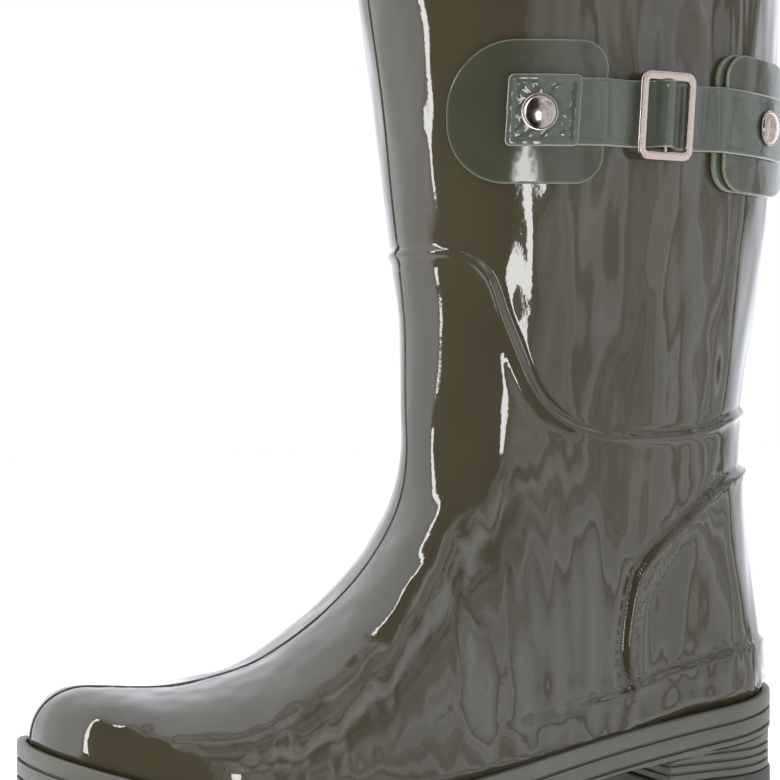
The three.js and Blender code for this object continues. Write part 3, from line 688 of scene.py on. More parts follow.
# Signed distance to a line in side view, positive on its right, stretched to distance on the surface
def fromLine(line, place, z, normal, leastCosine=0.12):
    best = np.full(len(place), 1e9)
    signed = np.zeros(len(place))
    stretch = np.ones(len(place))
    for (s0, z0), (s1, z1) in zip(line[:-1], line[1:]):
        ds, dz = s1 - s0, z1 - z0
        share = np.clip(((place - s0) * ds + (z - z0) * dz) / (ds * ds + dz * dz), 0, 1)
        gapS, gapZ = place - s0 - share * ds, z - z0 - share * dz
        far = np.hypot(gapS, gapZ)
        nearer = far < best
        side = np.sign(ds * (z - z0) - dz * (place - s0))
        lean = (gapS * normal[:, 0] + gapZ * normal[:, 2]) / np.maximum(far, 1e-6)
        signed = np.where(nearer, -side * far, signed)
        stretch = np.where(nearer, 1 / np.sqrt(np.maximum(1 - lean**2, leastCosine)), stretch)
        best = np.where(nearer, far, best)
    return signed * stretch


lines = {name: smoothLine(knots) for name, knots in {
    "vamp": vampLine, "counter": counterFront, "counterRear": counterRear, "rand": randLine, "fold": foldLine,
}.items()}


# A smooth ridge along a line
def ridge(distance, width):
    return np.exp(-((distance / width) ** 2))


# The rand has its own line round the heel, and keeps a height over the sole ahead of the waist
def randDistance(place, z, normal):
    return np.where(place < upper["waist"], np.minimum(fromLine(lines["rand"], place, z, normal), 40),
                    seat(place) + upper["randHeight"] - z)


# How far the moulded lines stand out of the plain body
def relief(place, z, normal):
    vamp = fromLine(lines["vamp"], place, z, normal)
    onFoot = ease((vamp + 1.2) / 2.4) * np.exp(-np.maximum(vamp, 0) / upper["vampFade"])
    h = upper["vampBead"] * ridge(vamp - 0.2, upper["vampWidth"]) + upper["vampStep"] * onFoot
    h -= 0.35 * ridge(vamp + 2.1, 0.8) + 0.3 * ridge(vamp - 4.2, 1.7)
    counter = fromLine(lines["counter"], place, z, normal)
    low = ease((z - upper["lineFoot"]) / 4)
    step = ease((counter + 0.8) / 1.6) * np.exp(-np.maximum(counter, 0) / upper["counterFade"])
    h += low * upper["counterStep"] * step
    h += low * upper["counterBead"] * ridge(counter - 0.9, 0.9)
    h -= low * upper["counterGroove"] * ridge(counter + 2.1, 1.1)
    behind = fromLine(lines["counterRear"], place, z, normal)
    hollow = ease((behind + 0.2) / 1.8) * np.exp(-np.maximum(behind, 0) / upper["rearFade"])
    h -= low * upper["rearHollow"] * hollow * ease((104 - z) / 8)
    # the rand's step softens along the waist and fades out ahead of it
    rand = randDistance(place, z, normal) / (1 + 3 * ease((place - upper["waist"] + 1) / 40))
    step = upper["randStep"] * ease((rand + 0.8) / 1.6) - upper["randGroove"] * ridge(rand + 1.9, 1.0)
    h += step * ease((150 - place) / 70)
    fold = fromLine(lines["fold"], place, z, normal)
    h += upper["foldRise"] * ridge(fold, upper["foldWidth"]) * ease((upper["foldTop"] - z) / 4)
    # the lower edge turns in where it meets the sole
    edge = z - seat(place)
    atHeel = ease((75 - place) / 30)
    depth = upper["hemDepth"] + upper["hemHeelDepth"] * atHeel
    depth += upper["hemWaistDepth"] * ridge(place - 92, 22)
    return h - depth * ease((1.9 + 1.6 * atHeel - edge) / (2.2 + 1.2 * atHeel))


# Slow dents in the wall of the leg, never outward
def dents(place, z):
    wave = np.sin(place / 9 + np.sin(z / 31) * 1.4 + 0.6) * np.sin(z / 37 + place / 23 + 1.1)
    wave += 0.6 * np.sin(place / 5.3 + z / 60) * np.sin(z / 19 - place / 31)
    return -upper["dentDepth"] * (1.2 + wave) * ease((z - upper["dentFrom"]) / 60)


# The direction straight out of the upper's plain body
def bodyNormal(place, y, z, step=0.4):
    out = []
    for axis in np.eye(3) * step:
        plus = bodyField(place + axis[0], y + axis[1], z + axis[2], 0.0, boot["floorDrop"])
        minus = bodyField(place - axis[0], y - axis[1], z - axis[2], 0.0, boot["floorDrop"])
        out.append(plus - minus)
    out = np.stack(out, 1)
    return out / np.maximum(np.linalg.norm(out, axis=1, keepdims=True), 1e-9)


# Rows of the body's skin: over the toe, round the heel, up the leg, over the rim and down inside
def bodyRows(outside, inside, outer, inner, rim):
    steps = [0, 0] + list(np.linspace(0, 1, outside[0])[1:])
    steps += list(np.linspace(1, 2, outside[1])[1:]) + list(np.linspace(2, 3, outside[2])[1:])
    count = len(steps)
    turned = [3] * len(rim)
    back = list(3 * (1 - np.linspace(0, 1, inside) ** 1.2)) + [0]
    step = np.array(steps + turned + back, float)
    inset = np.array([outer] * count + list(rim) + [inner] * len(back))
    scale = np.array([0] + [1] * (len(step) - 2) + [0], float)
    return step, inset, scale, count


def bodySkin(outside, inside, outer, inner, rim, below, top):
    step, inset, scale, count = bodyRows(outside, inside, outer, inner, rim)
    rings = np.concatenate([
        ringCentres(step[[i]], inset[i], below(inset[i])) for i in range(len(step))
    ])

    def shape(turn, row):
        ring = np.stack([np.interp(row, np.arange(len(step)), rings[:, k]) for k in range(8)], 1)
        depth = np.interp(row, np.arange(len(step)), inset)
        grow = np.interp(row, np.arange(len(step)), scale)
        points = ringPoint(ring, turn, depth, below(depth), grow)
        points[:, 2] = np.minimum(points[:, 2], top)
        return points

    return shape, len(step) - 1, count


def upperBelow(inset):
    return boot["floorDrop"]


upperShape, upperRows, upperOutside = bodySkin(
    (upper["footRows"], upper["fanRows"], upper["legRows"]), upper["insideRows"],
    0.0, boot["shellWall"], upper["rimInsets"], upperBelow, boot["height"])


def upperPoint(turn, row):
    base = upperShape(turn, row)
    place, y, z = base.T
    normal = bodyNormal(place, y, z)
    onSide = (row < upperOutside) * ease((z - seat(place) + 8) / 4)  # not inside, nor under the foot
    height = relief(place, z, normal) + dents(place, z)
    return base + normal * (height * onSide)[:, None]


def addUpper():
    skin = rolledGrid(upper["turns"], upperRows, upperPoint, {
        "row": lambda turn, row: row, "cosine": lambda turn, row: np.cos(2 * math.pi * turn),
        "sine": lambda turn, row: np.sin(2 * math.pi * turn),
    })
    layers = [skin.verts.layers.float[name] for name in ("row", "cosine", "sine")]
    # finer faces along the moulded lines, then every point is worked out again
    points = np.array([face.calc_center_median()[:] for face in skin.faces])
    place, y, z = boot["heelCentre"] - points[:, 0], points[:, 1], points[:, 2]
    normal = bodyNormal(place, y, z)
    near = np.abs(fromLine(lines["vamp"], place, z, normal)) < 4.2
    near |= (np.abs(fromLine(lines["counter"], place, z, normal)) < 2.6) & (z > upper["lineFoot"])
    near |= (np.abs(randDistance(place, z, normal)) < 2.0) & (place < 130) & (z > 20)
    chosen = [face for face, close in zip(skin.faces, near)
              if close and all(vertex[layers[0]] < upperOutside - 1 for vertex in face.verts)]
    edges = list({edge for face in chosen for edge in face.edges})
    bmesh.ops.subdivide_edges(skin, edges=edges, cuts=2, use_grid_fill=True)
    row = np.array([vertex[layers[0]] for vertex in skin.verts])
    angle = np.arctan2(*[np.array([vertex[layers[k]] for vertex in skin.verts]) for k in (2, 1)])
    points = toModel(upperPoint(angle / 2 / math.pi % 1, row))
    for vertex, point in zip(skin.verts, points):
        vertex.co = point
    trimUnder(skin, upper["cutBelow"])
    return finishPiece("upper", skin, looks["upper"], ["upper_shell"])


# Cuts a skin level with the sole top, a little below it, and joins its two walls there
def trimUnder(skin, below):
    for vertex in skin.verts:
        vertex.co.z -= float(seat(boot["heelCentre"] - vertex.co.x))
    geometry = list(skin.verts) + list(skin.edges) + list(skin.faces)
    cut = bmesh.ops.bisect_plane(skin, geom=geometry, dist=1e-5, plane_co=(0, 0, -below),
                                 plane_no=(0, 0, 1), clear_inner=True)
    border = [e for e in cut["geom_cut"] if isinstance(e, bmesh.types.BMEdge) and e.is_boundary]
    bmesh.ops.bridge_loops(skin, edges=border)
    for vertex in skin.verts:
        vertex.co.z += float(seat(boot["heelCentre"] - vertex.co.x))


addUpper()


# Mould parting line, a fine raised flash down the middle of the front and of the back
parting = {"radius": 0.42, "collarClear": 1.0, "steps": 260}


def addPartingLine(name, turn, first, last):
    rows = np.linspace(first, last, parting["steps"])
    points = upperPoint(np.full(len(rows), turn), rows)
    points = points[points[:, 2] < boot["collarLow"] - parting["collarClear"]]
    path = bpy.data.curves.new(name, "CURVE")
    path.dimensions = "3D"
    path.bevel_depth = parting["radius"]
    path.bevel_resolution = 2
    path.use_fill_caps = True
    spline = path.splines.new("POLY")
    spline.points.add(len(points) - 1)
    for i, point in enumerate(toModel(points)):
        spline.points[i].co = (*point, 1)
    rail = bpy.data.objects.new(name, path)
    skin = bmesh.new()
    skin.from_mesh(rail.to_mesh())
    bpy.data.objects.remove(rail)
    bmesh.ops.remove_doubles(skin, verts=skin.verts, dist=1e-3)
    bmesh.ops.recalc_face_normals(skin, faces=skin.faces)
    finishPiece(name, skin, looks["upper"])


# Gives a rolled grid its own map, in metres round it and along it
def addMap(piece, width, height):
    mesh = piece.data
    data = {name: np.zeros(len(mesh.vertices)) for name in ("turn", "row")}
    for name, values in data.items():
        mesh.attributes[name].data.foreach_get("value", values)
    corners = np.zeros(len(mesh.loops), int)
    mesh.loops.foreach_get("vertex_index", corners)
    chart = np.stack([data["turn"][corners] * width, data["row"][corners] * height], 1)
    mesh.uv_layers.new(name="cloth").data.foreach_set("uv", chart.ravel())


lining = {"turns": 96, "rows": (26, 44, 26), "insideRows": 50, "underRim": 2, "map": (0.16, 0.95)}


# The knitted sock inside, bonded to the shell
def addLining():
    outer = boot["shellWall"] + boot["gap"]
    inner = outer + boot["liningWall"]

    def below(inset):
        return -(boot["gap"] + inset)

    shape, rows, _ = bodySkin(lining["rows"], lining["insideRows"], outer, inner,
                              (outer + 0.2, inner - 0.2), below, boot["height"] - lining["underRim"])
    skin = rolledGrid(lining["turns"], rows, shape, {
        "turn": lambda turn, row: np.abs(turn - 0.5) * 2, "row": lambda turn, row: row / rows,
    })
    piece = finishPiece("lining", skin, looks["knit"], ["textile_lining"])
    addMap(piece, *lining["map"])


collar = {"thick": 1.5, "turns": 200}


# Collar: a welded band round the rim, rounded over at both edges
def addCollar():
    low, high, thick = boot["collarLow"], boot["height"], collar["thick"]
    near = boot["gap"]
    profile = [
        (low, near), (low + 0.05, near + 0.9), (low + 0.4, near + thick - 0.1), (low + 1.2, near + thick),
        (low + 4, near + thick), (high - 4, near + thick), (high - 1.3, near + thick),
        (high - 0.35, near + thick - 0.25), (high, near + 0.8), (high, near),
        (high - 4, near), (low + 4, near), (low, near),
    ]
    level, off = (np.array(column, float) for column in zip(*profile))

    def shape(turn, row):
        z, out = (np.interp(row, np.arange(len(profile)), column) for column in (level, off))
        middle, rear, front, side = legSection(z, -out)
        angle = 2 * math.pi * turn
        reach = np.where(np.cos(angle) > 0, front, rear)
        return np.stack([middle + reach * np.cos(angle), side * np.sin(angle), z], 1)

    skin = rolledGrid(collar["turns"], len(profile) - 1, shape)
    finishPiece("collar", skin, looks["collar"], ["collar_band"], sharp=60)


# A closed skin on the sole's outline: each row is (inset, share of the half width, height of a place)
def outlineSkin(turns, rows, last=None, lastRound=None, lastPower=2.2):
    end = boot["length"] if last is None else last
    inset, share = (np.array(column, float) for column in list(zip(*rows))[:2])

    def shape(turn, row):
        depth, wide = (np.interp(row, np.arange(len(rows)), column) for column in (inset, share))
        place = depth + (end - 2 * depth) * (1 - np.cos(2 * math.pi * turn)) / 2
        half = halfWidth(place, depth, last, lastRound, lastPower) * wide
        y = midLine(place) + np.where(turn < 0.5, -half, half)
        y = np.where((turn % 0.5) * (0.5 - turn % 0.5) < 1e-9, midLine(place), y)
        whole = np.clip(np.round(row).astype(int), 0, len(rows) - 1)
        z = np.zeros(len(place))
        for i, line in enumerate(rows):
            z = np.where(whole == i, line[2](place), z)
        return np.stack([place, y, z], 1)

    return rolledGrid(turns, len(rows) - 1, shape)


# The sole's lowest points: its tread in front, and the top of the heel block behind
def under(place):
    return np.where(place > boot["heelLength"] + 8, np.maximum(underside(place), 0),
                    seat(place) - boot["soleBand"])


# Rows that cut one edge groove into an upright edge
def grooveRows(level, inset=0.0, width=1.1, depth=1.3):
    half = width / 2
    steps = [(0, half + 0.2), (0.12, half + 0.03), (depth, half - 0.1), (depth, 0.1 - half),
             (0.12, -half - 0.03), (0, -half - 0.2)]
    return [(inset + d, 1, lambda place, r=rise, at=level: at(place) - r) for d, rise in steps]


# Cuts blocks out of a piece, and leaves no modifier behind
def cutBlocks(piece, blocks, sharp):
    cutter = bmesh.new()
    for place, z, length, height, across in blocks:
        box = bmesh.ops.create_cube(cutter, size=1)["verts"]
        bmesh.ops.scale(cutter, vec=(length * mm, across * mm, height * mm), verts=box)
        bmesh.ops.translate(cutter, vec=((boot["heelCentre"] - place) * mm, 0, z * mm), verts=box)
    mesh = bpy.data.meshes.new("cutter")
    cutter.to_mesh(mesh)
    cutter.free()
    tool = bpy.data.objects.new("cutter", mesh)
    bpy.context.scene.collection.objects.link(tool)
    cut = piece.modifiers.new("cut", "BOOLEAN")
    cut.operation = "DIFFERENCE"
    cut.solver = "EXACT"
    cut.object = tool
    bpy.context.view_layer.update()
    result = bpy.data.meshes.new_from_object(piece.evaluated_get(bpy.context.evaluated_depsgraph_get()))
    piece.modifiers.clear()
    piece.data = result
    bpy.data.objects.remove(tool)
    result.set_sharp_from_angle(angle=math.radians(sharp))


sole = {
    "turns": 280, "sharp": 38, "grooveStep": 5.7,
    "cupDepth": 2.8,  # the upper stands in this, and the insole board in the deeper one
    "boardCup": 4.7, "boardInset": 7.7,
    "treadPitch": 13.0, "treadWidth": 3.2, "treadDepth": 3.0, "treadFrom": 0.53, "treadTo": 0.86,
    "cutAcross": 160, "cutHeight": 20,
}


def addOutsole():
    def fromTop(drop):
        return lambda place: seat(place) - drop

    def fromLow(rise):
        return lambda place: under(place) + rise

    wall = boot["upperInset"] - 0.15
    rows = [(2, 0, under), (2, 0.3, under), (2, 0.6, under), (2, 0.85, under), (1.0, 1, under),
            (0.3, 1, fromLow(0.25)), (0, 1, fromLow(0.9))]
    rows += grooveRows(fromTop(2 * sole["grooveStep"])) + grooveRows(fromTop(sole["grooveStep"]))
    rows += [(0, 1, fromTop(1.3)), (0.1, 1, fromTop(0.5)), (0.5, 1, fromTop(0.08)), (1.0, 1, seat),
             (wall - 0.5, 1, seat), (wall - 0.1, 1, fromTop(0.15)), (wall, 1, fromTop(0.5)),
             (wall, 1, fromTop(sole["cupDepth"])), (sole["boardInset"], 1, fromTop(sole["cupDepth"]))]
    rows += [(sole["boardInset"], share, fromTop(sole["boardCup"])) for share in (1, 0.5, 0)]
    skin = outlineSkin(sole["turns"], rows)
    piece = finishPiece("outsole_edge", skin, looks["sole"], ["outsole"], sharp=sole["sharp"])
    blocks = []
    place = along(sole["treadFrom"]) + sole["treadPitch"] / 2
    while place < along(sole["treadTo"]):
        top = max(float(underside(place)), 0) + sole["treadDepth"]
        blocks.append((place, top - sole["cutHeight"] / 2, sole["treadWidth"], sole["cutHeight"],
                       sole["cutAcross"]))
        place += sole["treadPitch"]
    cutBlocks(piece, blocks, sole["sharp"])


heel = {
    "turns": 200, "inset": 0.6, "breastRound": 3.0, "ribPitch": 3.0, "ribCount": 3, "coreInset": 9.0,
    "coreFloor": 2.2, "liftLead": 0.6, "grooveShares": (0.23, 0.75),
}


def addHeel():
    low = boot["liftHeight"] + boot["gap"]

    def top(place):
        return seat(place) - boot["soleBand"] - boot["gap"]

    def level(z):
        return lambda place: z + 0 * place

    edge, core = heel["inset"], heel["coreInset"] - boot["gap"]
    rows = [(core, share, level(low)) for share in (0, 0.6, 1)]
    rows += [(edge + 0.5, 1, level(low)), (edge, 1, level(low + 0.5))]
    for rib in range(heel["ribCount"]):
        rows += grooveRows(level(low + heel["ribPitch"] * (rib + 1)), edge)
    floor = low + heel["coreFloor"] - 2 * boot["gap"]
    rows += [(edge, 1, lambda place: top(place) - 0.5), (edge + 0.5, 1, top), (core, 1, top),
             (core, 1, level(floor)), (core, 0.5, level(floor)), (core, 0, level(floor))]
    skin = outlineSkin(heel["turns"], rows, boot["heelLength"], heel["breastRound"], 2)
    finishPiece("heel_block_edge", skin, looks["sole"], ["heel_block"],
                sharp=sole["sharp"])

    high = boot["liftHeight"]
    rows = [(1, 0, level(0)), (1, 0.4, level(0)), (1, 0.8, level(0)), (0.7, 1, level(0)), (0, 1, level(0.7)),
            (0, 1, level(high / 2)), (0, 1, level(high - 0.5)), (0.5, 1, level(high)), (1, 0.6, level(high)),
            (1, 0, level(high))]
    skin = outlineSkin(heel["turns"], rows, boot["heelLength"] + heel["liftLead"], heel["breastRound"], 2)
    lift = finishPiece("heel_lift", skin, looks["lift"], ["heel_top_lift"],
                       sharp=sole["sharp"])
    cutBlocks(lift, [
        (share * boot["heelLength"], 0, sole["treadWidth"], 2 * sole["treadDepth"], sole["cutAcross"])
        for share in heel["grooveShares"]
    ], sole["sharp"])


insock = {"turns": 160, "fill": 0.35}


# Loose insock: knit-faced foam, a little crowned, raised at its edge
def addInsock():
    wall = boot["shellWall"] + boot["liningWall"] + 2 * boot["gap"]
    base = boot["gap"] + wall + 0.1
    edge = boot["upperInset"] + wall + 0.5

    def over(rise):
        return lambda place: seat(place) + base + rise

    rows = [(edge, 0, over(0)), (edge, 0.4, over(0)), (edge, 0.8, over(0)), (edge + 0.6, 1, over(0.05)),
            (edge, 1, over(0.5)), (edge - 0.1, 1, over(1.5)), (edge, 1, over(2.6)),
            (edge + 0.5, 1, over(3.0)), (edge + 1.4, 1, over(3.05))]
    rows += [(edge + 3.5, share, over(rise)) for share, rise in (
        (1, 2.7), (0.75, 2.5), (0.5, 2.55), (0.25, 2.6), (0, 2.6))]
    skin = outlineSkin(insock["turns"], rows)
    piece = finishPiece("insock", skin, looks["insock"], ["removable_insock"])
    mesh = piece.data
    flat = np.array([mesh.vertices[loop.vertex_index].co[:2] for loop in mesh.loops])
    mesh.uv_layers.new(name="cloth").data.foreach_set("uv", flat.ravel())


# A rounded rectangle as a function of the turn round it; radii go anticlockwise from upper right
def roundedLoop(left, right, low, high, radii):
    corners = [(right, high, -1, -1, 0), (left, high, 1, -1, 1), (left, low, 1, 1, 2), (right, low, -1, 1, 3)]
    points = []
    for (x, y, sx, sy, quarter), radius in zip(corners, radii):
        radius = max(radius, 0.05)
        for angle in math.pi / 2 * (quarter + np.linspace(0, 1, 24)):
            points.append((x + radius * (sx + math.cos(angle)), y + radius * (sy + math.sin(angle))))
    points = np.array(points + points[:1])
    length = np.concatenate([[0], np.cumsum(np.hypot(*np.diff(points, axis=0).T))])

    def read(turn):
        at = turn * length[-1]
        return np.interp(at, length, points[:, 0]), np.interp(at, length, points[:, 1])

    return read


# A sheet cut to a rounded outline and laid on the leg; rows are (inset, share of its size, distance off)
def wrappedSheet(name, box, radii, rows, material, replaced, turns=160, dent=None):
    left, right, low, high = box
    loops = [roundedLoop(left + d, right - d, low + d, high - d, [r - d for r in radii]) for d, _, _ in rows]
    middle = ((left + right) / 2, (low + high) / 2)

    def shape(turn, row):
        whole = np.round(row).astype(int)
        around, level, off = (np.zeros(len(turn)) for _ in range(3))
        for i, (_, share, distance) in enumerate(rows):
            mine = whole == i
            x, y = loops[i](turn[mine])
            around[mine] = middle[0] + (x - middle[0]) * share
            level[mine] = middle[1] + (y - middle[1]) * share
            off[mine] = distance
        if dent:
            off = off + dent(around, level, whole)
        return legPoint(around, level, off)

    # marks the cut edge and the rim of the upper face for the painted edge highlight
    def edge(turn, row):
        inset, share, off = (np.array(column, float) for column in zip(*rows))
        whole = np.round(row).astype(int)
        near = np.clip(1 - inset[whole] / 0.5, 0, 1) * (share[whole] == 1)
        return near * (off[whole] > min(off) + 0.2)

    skin = rolledGrid(turns, len(rows) - 1, shape, {"edge": edge})
    return finishPiece(name, skin, material, replaced, sharp=50)


# Places along the strap are distances round the leg, forward from its side line
strap = {
    "patchHeight": 46.0, "patchLength": 52.0, "patchThick": 1.9, "frontEdge": 22.5, "rearEdge": -23.0,
    "layerStep": 3.0, "rearTopThick": 1.5, "width": 21.6, "thick": 1.6, "free": 1.1, "easeLength": 9.0,
    "frontEnd": 52.0, "rearEnd": -61.0,
    "keeperSize": 22.8, "keeperThick": 1.4, "keeperPlace": 43.3, "keeperRecess": 0.75,
    "frontRivet": 44.5, "rearRivet": -43.5, "rivetRadius": 6.0, "rivetRise": 2.6, "postRadius": 1.9,
    "bucklePlace": 3.0, "buckleLength": 21.0, "buckleHeight": 29.0, "buckleBar": 3.1, "buckleThick": 2.2,
    "buckleLift": 4.5, "buckleRound": 3.8, "barRadius": 0.8, "washerThick": 1.3, "steps": 230,
}
gap = boot["gap"]
patchTop = gap + strap["patchThick"]
rearTop = patchTop + gap + strap["rearTopThick"]
strapOnPatch, strapOnRear = patchTop + gap, rearTop + gap
keeperBase = strapOnPatch + strap["thick"] + gap
strapOverBar = strap["buckleLift"] + strap["buckleThick"] / 2 + strap["barRadius"] + gap


# A sheet's rows, from the middle of its lower face round the edge to the middle of its upper face
def sheetRows(low, high):
    deep = [0, 0.16, 0.32, 0.48, 0.64, 0.8, 0.92]
    rows = [(0.5, share, low) for share in deep] + [(0.5, 1, low), (0.1, 1, low + 0.08), (0, 1, low + 0.4)]
    rows += [(0, 1, high - 0.4), (0.1, 1, high - 0.12), (0.4, 1, high), (0.9, 1, high)]
    return rows + [(0.9, share, high) for share in reversed(deep)]


# Slow ripples in a sheet's upper face
def ripple(amount, low):
    def shape(around, level, row):
        wave = np.sin(around / 4.1 + np.sin(level / 6) * 1.2) * np.sin(level / 5.2 + around / 9)
        return amount * (wave - 1) * (row >= low)
    return shape


def addPatches():
    low, high = boot["strapLevel"] - strap["patchHeight"] / 2, boot["strapLevel"] + strap["patchHeight"] / 2
    big, small = strap["patchHeight"] / 2 - 1.5, 9.0
    front = (strap["frontEdge"], strap["frontEdge"] + strap["patchLength"], low, high)
    wrappedSheet("patch_front", front, (big, small, small, big), sheetRows(gap, patchTop), looks["patch"],
                 ["front_patch"], dent=ripple(0.10, 12))
    base = strap["rearEdge"] + strap["layerStep"]
    wrappedSheet("patch_rear_under", (base - strap["patchLength"], base, low, high), (small, big, big, small),
                 sheetRows(gap, patchTop), looks["patch"], ["rear_patch_base"])
    length = strap["patchLength"] - strap["layerStep"]
    wrappedSheet("patch_rear_over", (strap["rearEdge"] - length, strap["rearEdge"], low, high),
                 (small, big, big, small), sheetRows(patchTop + gap, rearTop), looks["patch"],
                 ["rear_patch_top"], dent=ripple(0.10, 12))


# Keeper: a pressed square, its rim proud and its floor wavy where it was heated
def addKeeper():
    half = strap["keeperSize"] / 2
    place, level = strap["keeperPlace"], boot["strapLevel"]
    low, high = keeperBase, keeperBase + strap["keeperThick"]
    floor = high - strap["keeperRecess"]
    rows = [(0.5, share, low) for share in (0, 0.3, 0.6, 0.85, 1)]
    rows += [(0, 1, low + 0.3), (0, 1, high - 0.5), (0.15, 1, high - 0.15), (0.5, 1, high), (1.6, 1, high),
             (2.0, 1, high - 0.1), (2.5, 1, floor + 0.1), (3.0, 1, floor)]
    inner = len(rows) - 1
    rows += [(3.0, share, floor) for share in np.linspace(0.95, 0, 14)]

    def waves(around, z, row):
        wave = np.sin(around * 1.2 + 1.3 * np.sin(z * 0.8)) * np.sin(z * 1.1 + 0.9 * np.sin(around * 0.6))
        away = np.maximum(np.abs(around - place), np.abs(z - level)) / half
        onRim = (row > inner - 5) * (row <= inner)
        return 0.26 * wave * ease((away - 0.35) / 0.4) * (row > inner) + 0.07 * wave * onRim

    box = (place - half, place + half, level - half, level + half)
    wrappedSheet("keeper", box, (1.8,) * 4, rows, looks["strap"], ["keeper_plate"], dent=waves)


# How far the strap's lower face is off the leg: over the patches, and over the buckle's bar
def strapOff(around):
    front = (strapOnPatch - strap["free"]) * ease((around - strap["frontEdge"] + strap["easeLength"] - 1)
                                                  / strap["easeLength"])
    rearEdge = strap["rearEdge"] + strap["layerStep"]
    rear = (strapOnRear - strap["free"]) * ease((rearEdge + strap["easeLength"] - 0.6 - around)
                                                / strap["easeLength"])
    window = (strap["buckleLength"] / 2 - strap["buckleBar"]) * 0.9
    hump = np.maximum(1 - ((around - strap["bucklePlace"]) / window) ** 2, 0) ** 2
    return strap["free"] + front + rear + (strapOverBar - strap["free"]) * hump


def addStrap():
    half, thick = strap["width"] / 2, strap["thick"]
    section = roundedLoop(-half, half, 0, thick, (0.5,) * 4)
    steps = strap["steps"]

    def shape(turn, row):
        share = np.clip(row - 1, 0, steps - 2) / (steps - 2)
        around = strap["frontEnd"] + (strap["rearEnd"] - strap["frontEnd"]) * share
        tip = roundEnd(around - strap["rearEnd"] + 0.8, 9, 2)
        ends = (row > 0.5) * (row < steps - 0.5)
        level, out = section(turn)
        level = level * (0.25 + 0.75 * tip) * ends
        out = np.where(ends, out, thick / 2)
        # a shallow bead along each long edge, and slow waves between
        bead = 0.16 * ridge(np.abs(level) - half + 1.3, 0.5) - 0.08 * ridge(np.abs(level) - half + 2.3, 0.5)
        wave = -0.09 * (1 + np.sin(around / 3.1 + level / 7))
        out = out + (bead + wave) * (out > thick * 0.6)
        return legPoint(around, boot["strapLevel"] + level, strapOff(around) + out)

    # marks the strap's long edges for the painted edge highlight
    def edge(turn, row):
        level, out = section(turn)
        return np.clip((np.abs(level) - half + 0.45) / 0.4, 0, 1)

    skin = rolledGrid(64, steps, shape, {"edge": edge})
    finishPiece("strap", skin, looks["strap"], ["side_strap"], sharp=50)


# Puts a shape made flat, at the middle of the leg's side, on the leg: x along it, y up it, z out of it
def seatOnLeg(skin, around, off):
    turn = legTurn(around)
    at = Vector(toModel(legPoint(around, boot["strapLevel"], 0))) + turn.col[2] * off
    skin.transform(Matrix.Translation(at) @ turn.to_4x4())


def addBuckle():
    bar, thick = strap["buckleBar"], strap["buckleThick"]
    length, height = strap["buckleLength"] - bar, strap["buckleHeight"] - bar
    radius = strap["buckleRound"] - bar / 2
    path = roundedLoop(-length / 2, length / 2, -height / 2, height / 2, (radius,) * 4)
    skin = bmesh.new()
    bmesh.ops.create_grid(skin, x_segments=160, y_segments=20, size=0.5)
    flat = np.array([vertex.co[:] for vertex in skin.verts])
    turn, angle = flat[:, 0] + 0.5, (flat[:, 1] + 0.5) * 2 * math.pi
    x, y = path(turn)
    x1, y1 = path((turn + 1e-3) % 1)
    x0, y0 = path((turn - 1e-3) % 1)
    size = np.maximum(np.hypot(x1 - x0, y1 - y0), 1e-9)
    out = np.stack([(y1 - y0) / size, -(x1 - x0) / size], 1)
    # a flat bar with well rounded edges
    wide = np.sign(np.cos(angle)) * np.abs(np.cos(angle)) ** 0.72 * bar / 2
    deep = np.sign(np.sin(angle)) * np.abs(np.sin(angle)) ** 0.72 * thick / 2
    for i, vertex in enumerate(skin.verts):
        vertex.co = (x[i] + out[i, 0] * wide[i], y[i] + out[i, 1] * wide[i], thick / 2 + deep[i])
    bmesh.ops.remove_doubles(skin, verts=skin.verts, dist=1e-3)
    bmesh.ops.create_cone(skin, cap_ends=True, segments=32, radius1=strap["barRadius"],
                          radius2=strap["barRadius"], depth=height,
                          matrix=Matrix.Translation((0, 0, thick / 2)) @ Matrix.Rotation(math.pi / 2, 4, "X"))
    bmesh.ops.recalc_face_normals(skin, faces=skin.faces)
    seatOnLeg(skin, strap["bucklePlace"], strap["buckleLift"])
    finishPiece("buckle", skin, looks["nickel"], ["strap_buckle"], body="buckle", sharp=50)


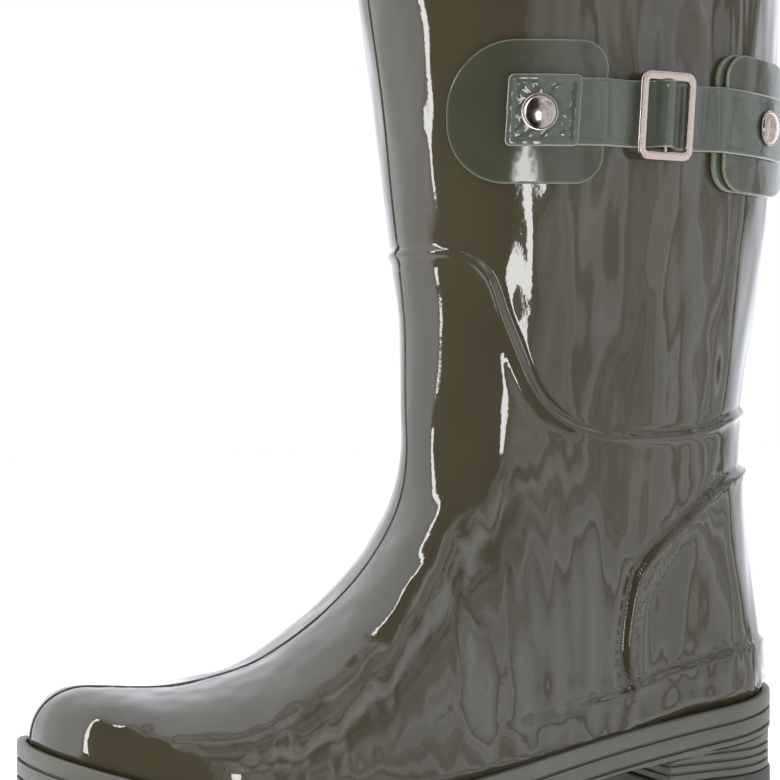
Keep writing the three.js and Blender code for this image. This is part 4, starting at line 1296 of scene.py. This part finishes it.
# Rivet: a domed cap on a rolled flange, with its post through to the washer
def addRivet(name, around, off, node):
    radius, rise = strap["rivetRadius"], strap["rivetRise"]
    length = off + boot["shellWall"] + boot["liningWall"] + 3 * gap + strap["washerThick"]
    profile = [(0, -length), (strap["postRadius"] - 0.2, -length), (strap["postRadius"], 0.2 - length),
               (strap["postRadius"], 0), (radius - 0.3, 0), (radius, 0.2), (radius, 0.5), (radius - 0.2, 0.7),
               (radius - 0.45, 0.72), (radius - 0.5, 0.6)]
    for angle in np.linspace(0, math.pi / 2, 12)[1:]:
        profile.append(((radius - 0.55) * math.cos(angle), 0.6 + (rise - 0.6) * math.sin(angle)))
    profile[-1] = (0, rise)
    skin = bmesh.new()
    verts = [skin.verts.new((x, 0, z)) for x, z in profile]
    edges = [skin.edges.new(pair) for pair in zip(verts[:-1], verts[1:])]
    bmesh.ops.spin(skin, geom=verts + edges, cent=(0, 0, 0), axis=(0, 0, 1), angle=2 * math.pi,
                   steps=56, use_merge=True, use_duplicate=False)
    bmesh.ops.remove_doubles(skin, verts=skin.verts, dist=1e-3)
    bmesh.ops.recalc_face_normals(skin, faces=skin.faces)
    seatOnLeg(skin, around, off)
    finishPiece(name, skin, looks["rivet"], [node], sharp=35)


addPartingLine("parting_line_front", 0.0, 1, upperOutside - 1)
addPartingLine("parting_line_back", 0.5, upper["footRows"] + upper["fanRows"] * 0.55, upperOutside - 1)
addLining()
addCollar()
print("upper is ready")
addOutsole()
addHeel()
addInsock()
print("sole is ready")
addPatches()
addKeeper()
addStrap()
addBuckle()
keeperFloor = keeperBase + strap["keeperThick"] - strap["keeperRecess"]
addRivet("rivet_front", strap["frontRivet"], keeperFloor + gap, "front_rivet")
addRivet("rivet_rear", strap["rearRivet"], strapOnRear + strap["thick"] + gap, "rear_rivet")
print("strap set is ready")

# Hidden pieces keep their own shapes and get their real materials
for node, look in {
    "insole_board": "board", "heel_core": "core", "steel_shank": "steel",
    "front_rivet_washer": "rivet", "rear_rivet_washer": "rivet",
}.items():
    mesh = nodes[node].data
    mesh.materials.clear()
    mesh.materials.append(looks[look])

print("all pieces are made")
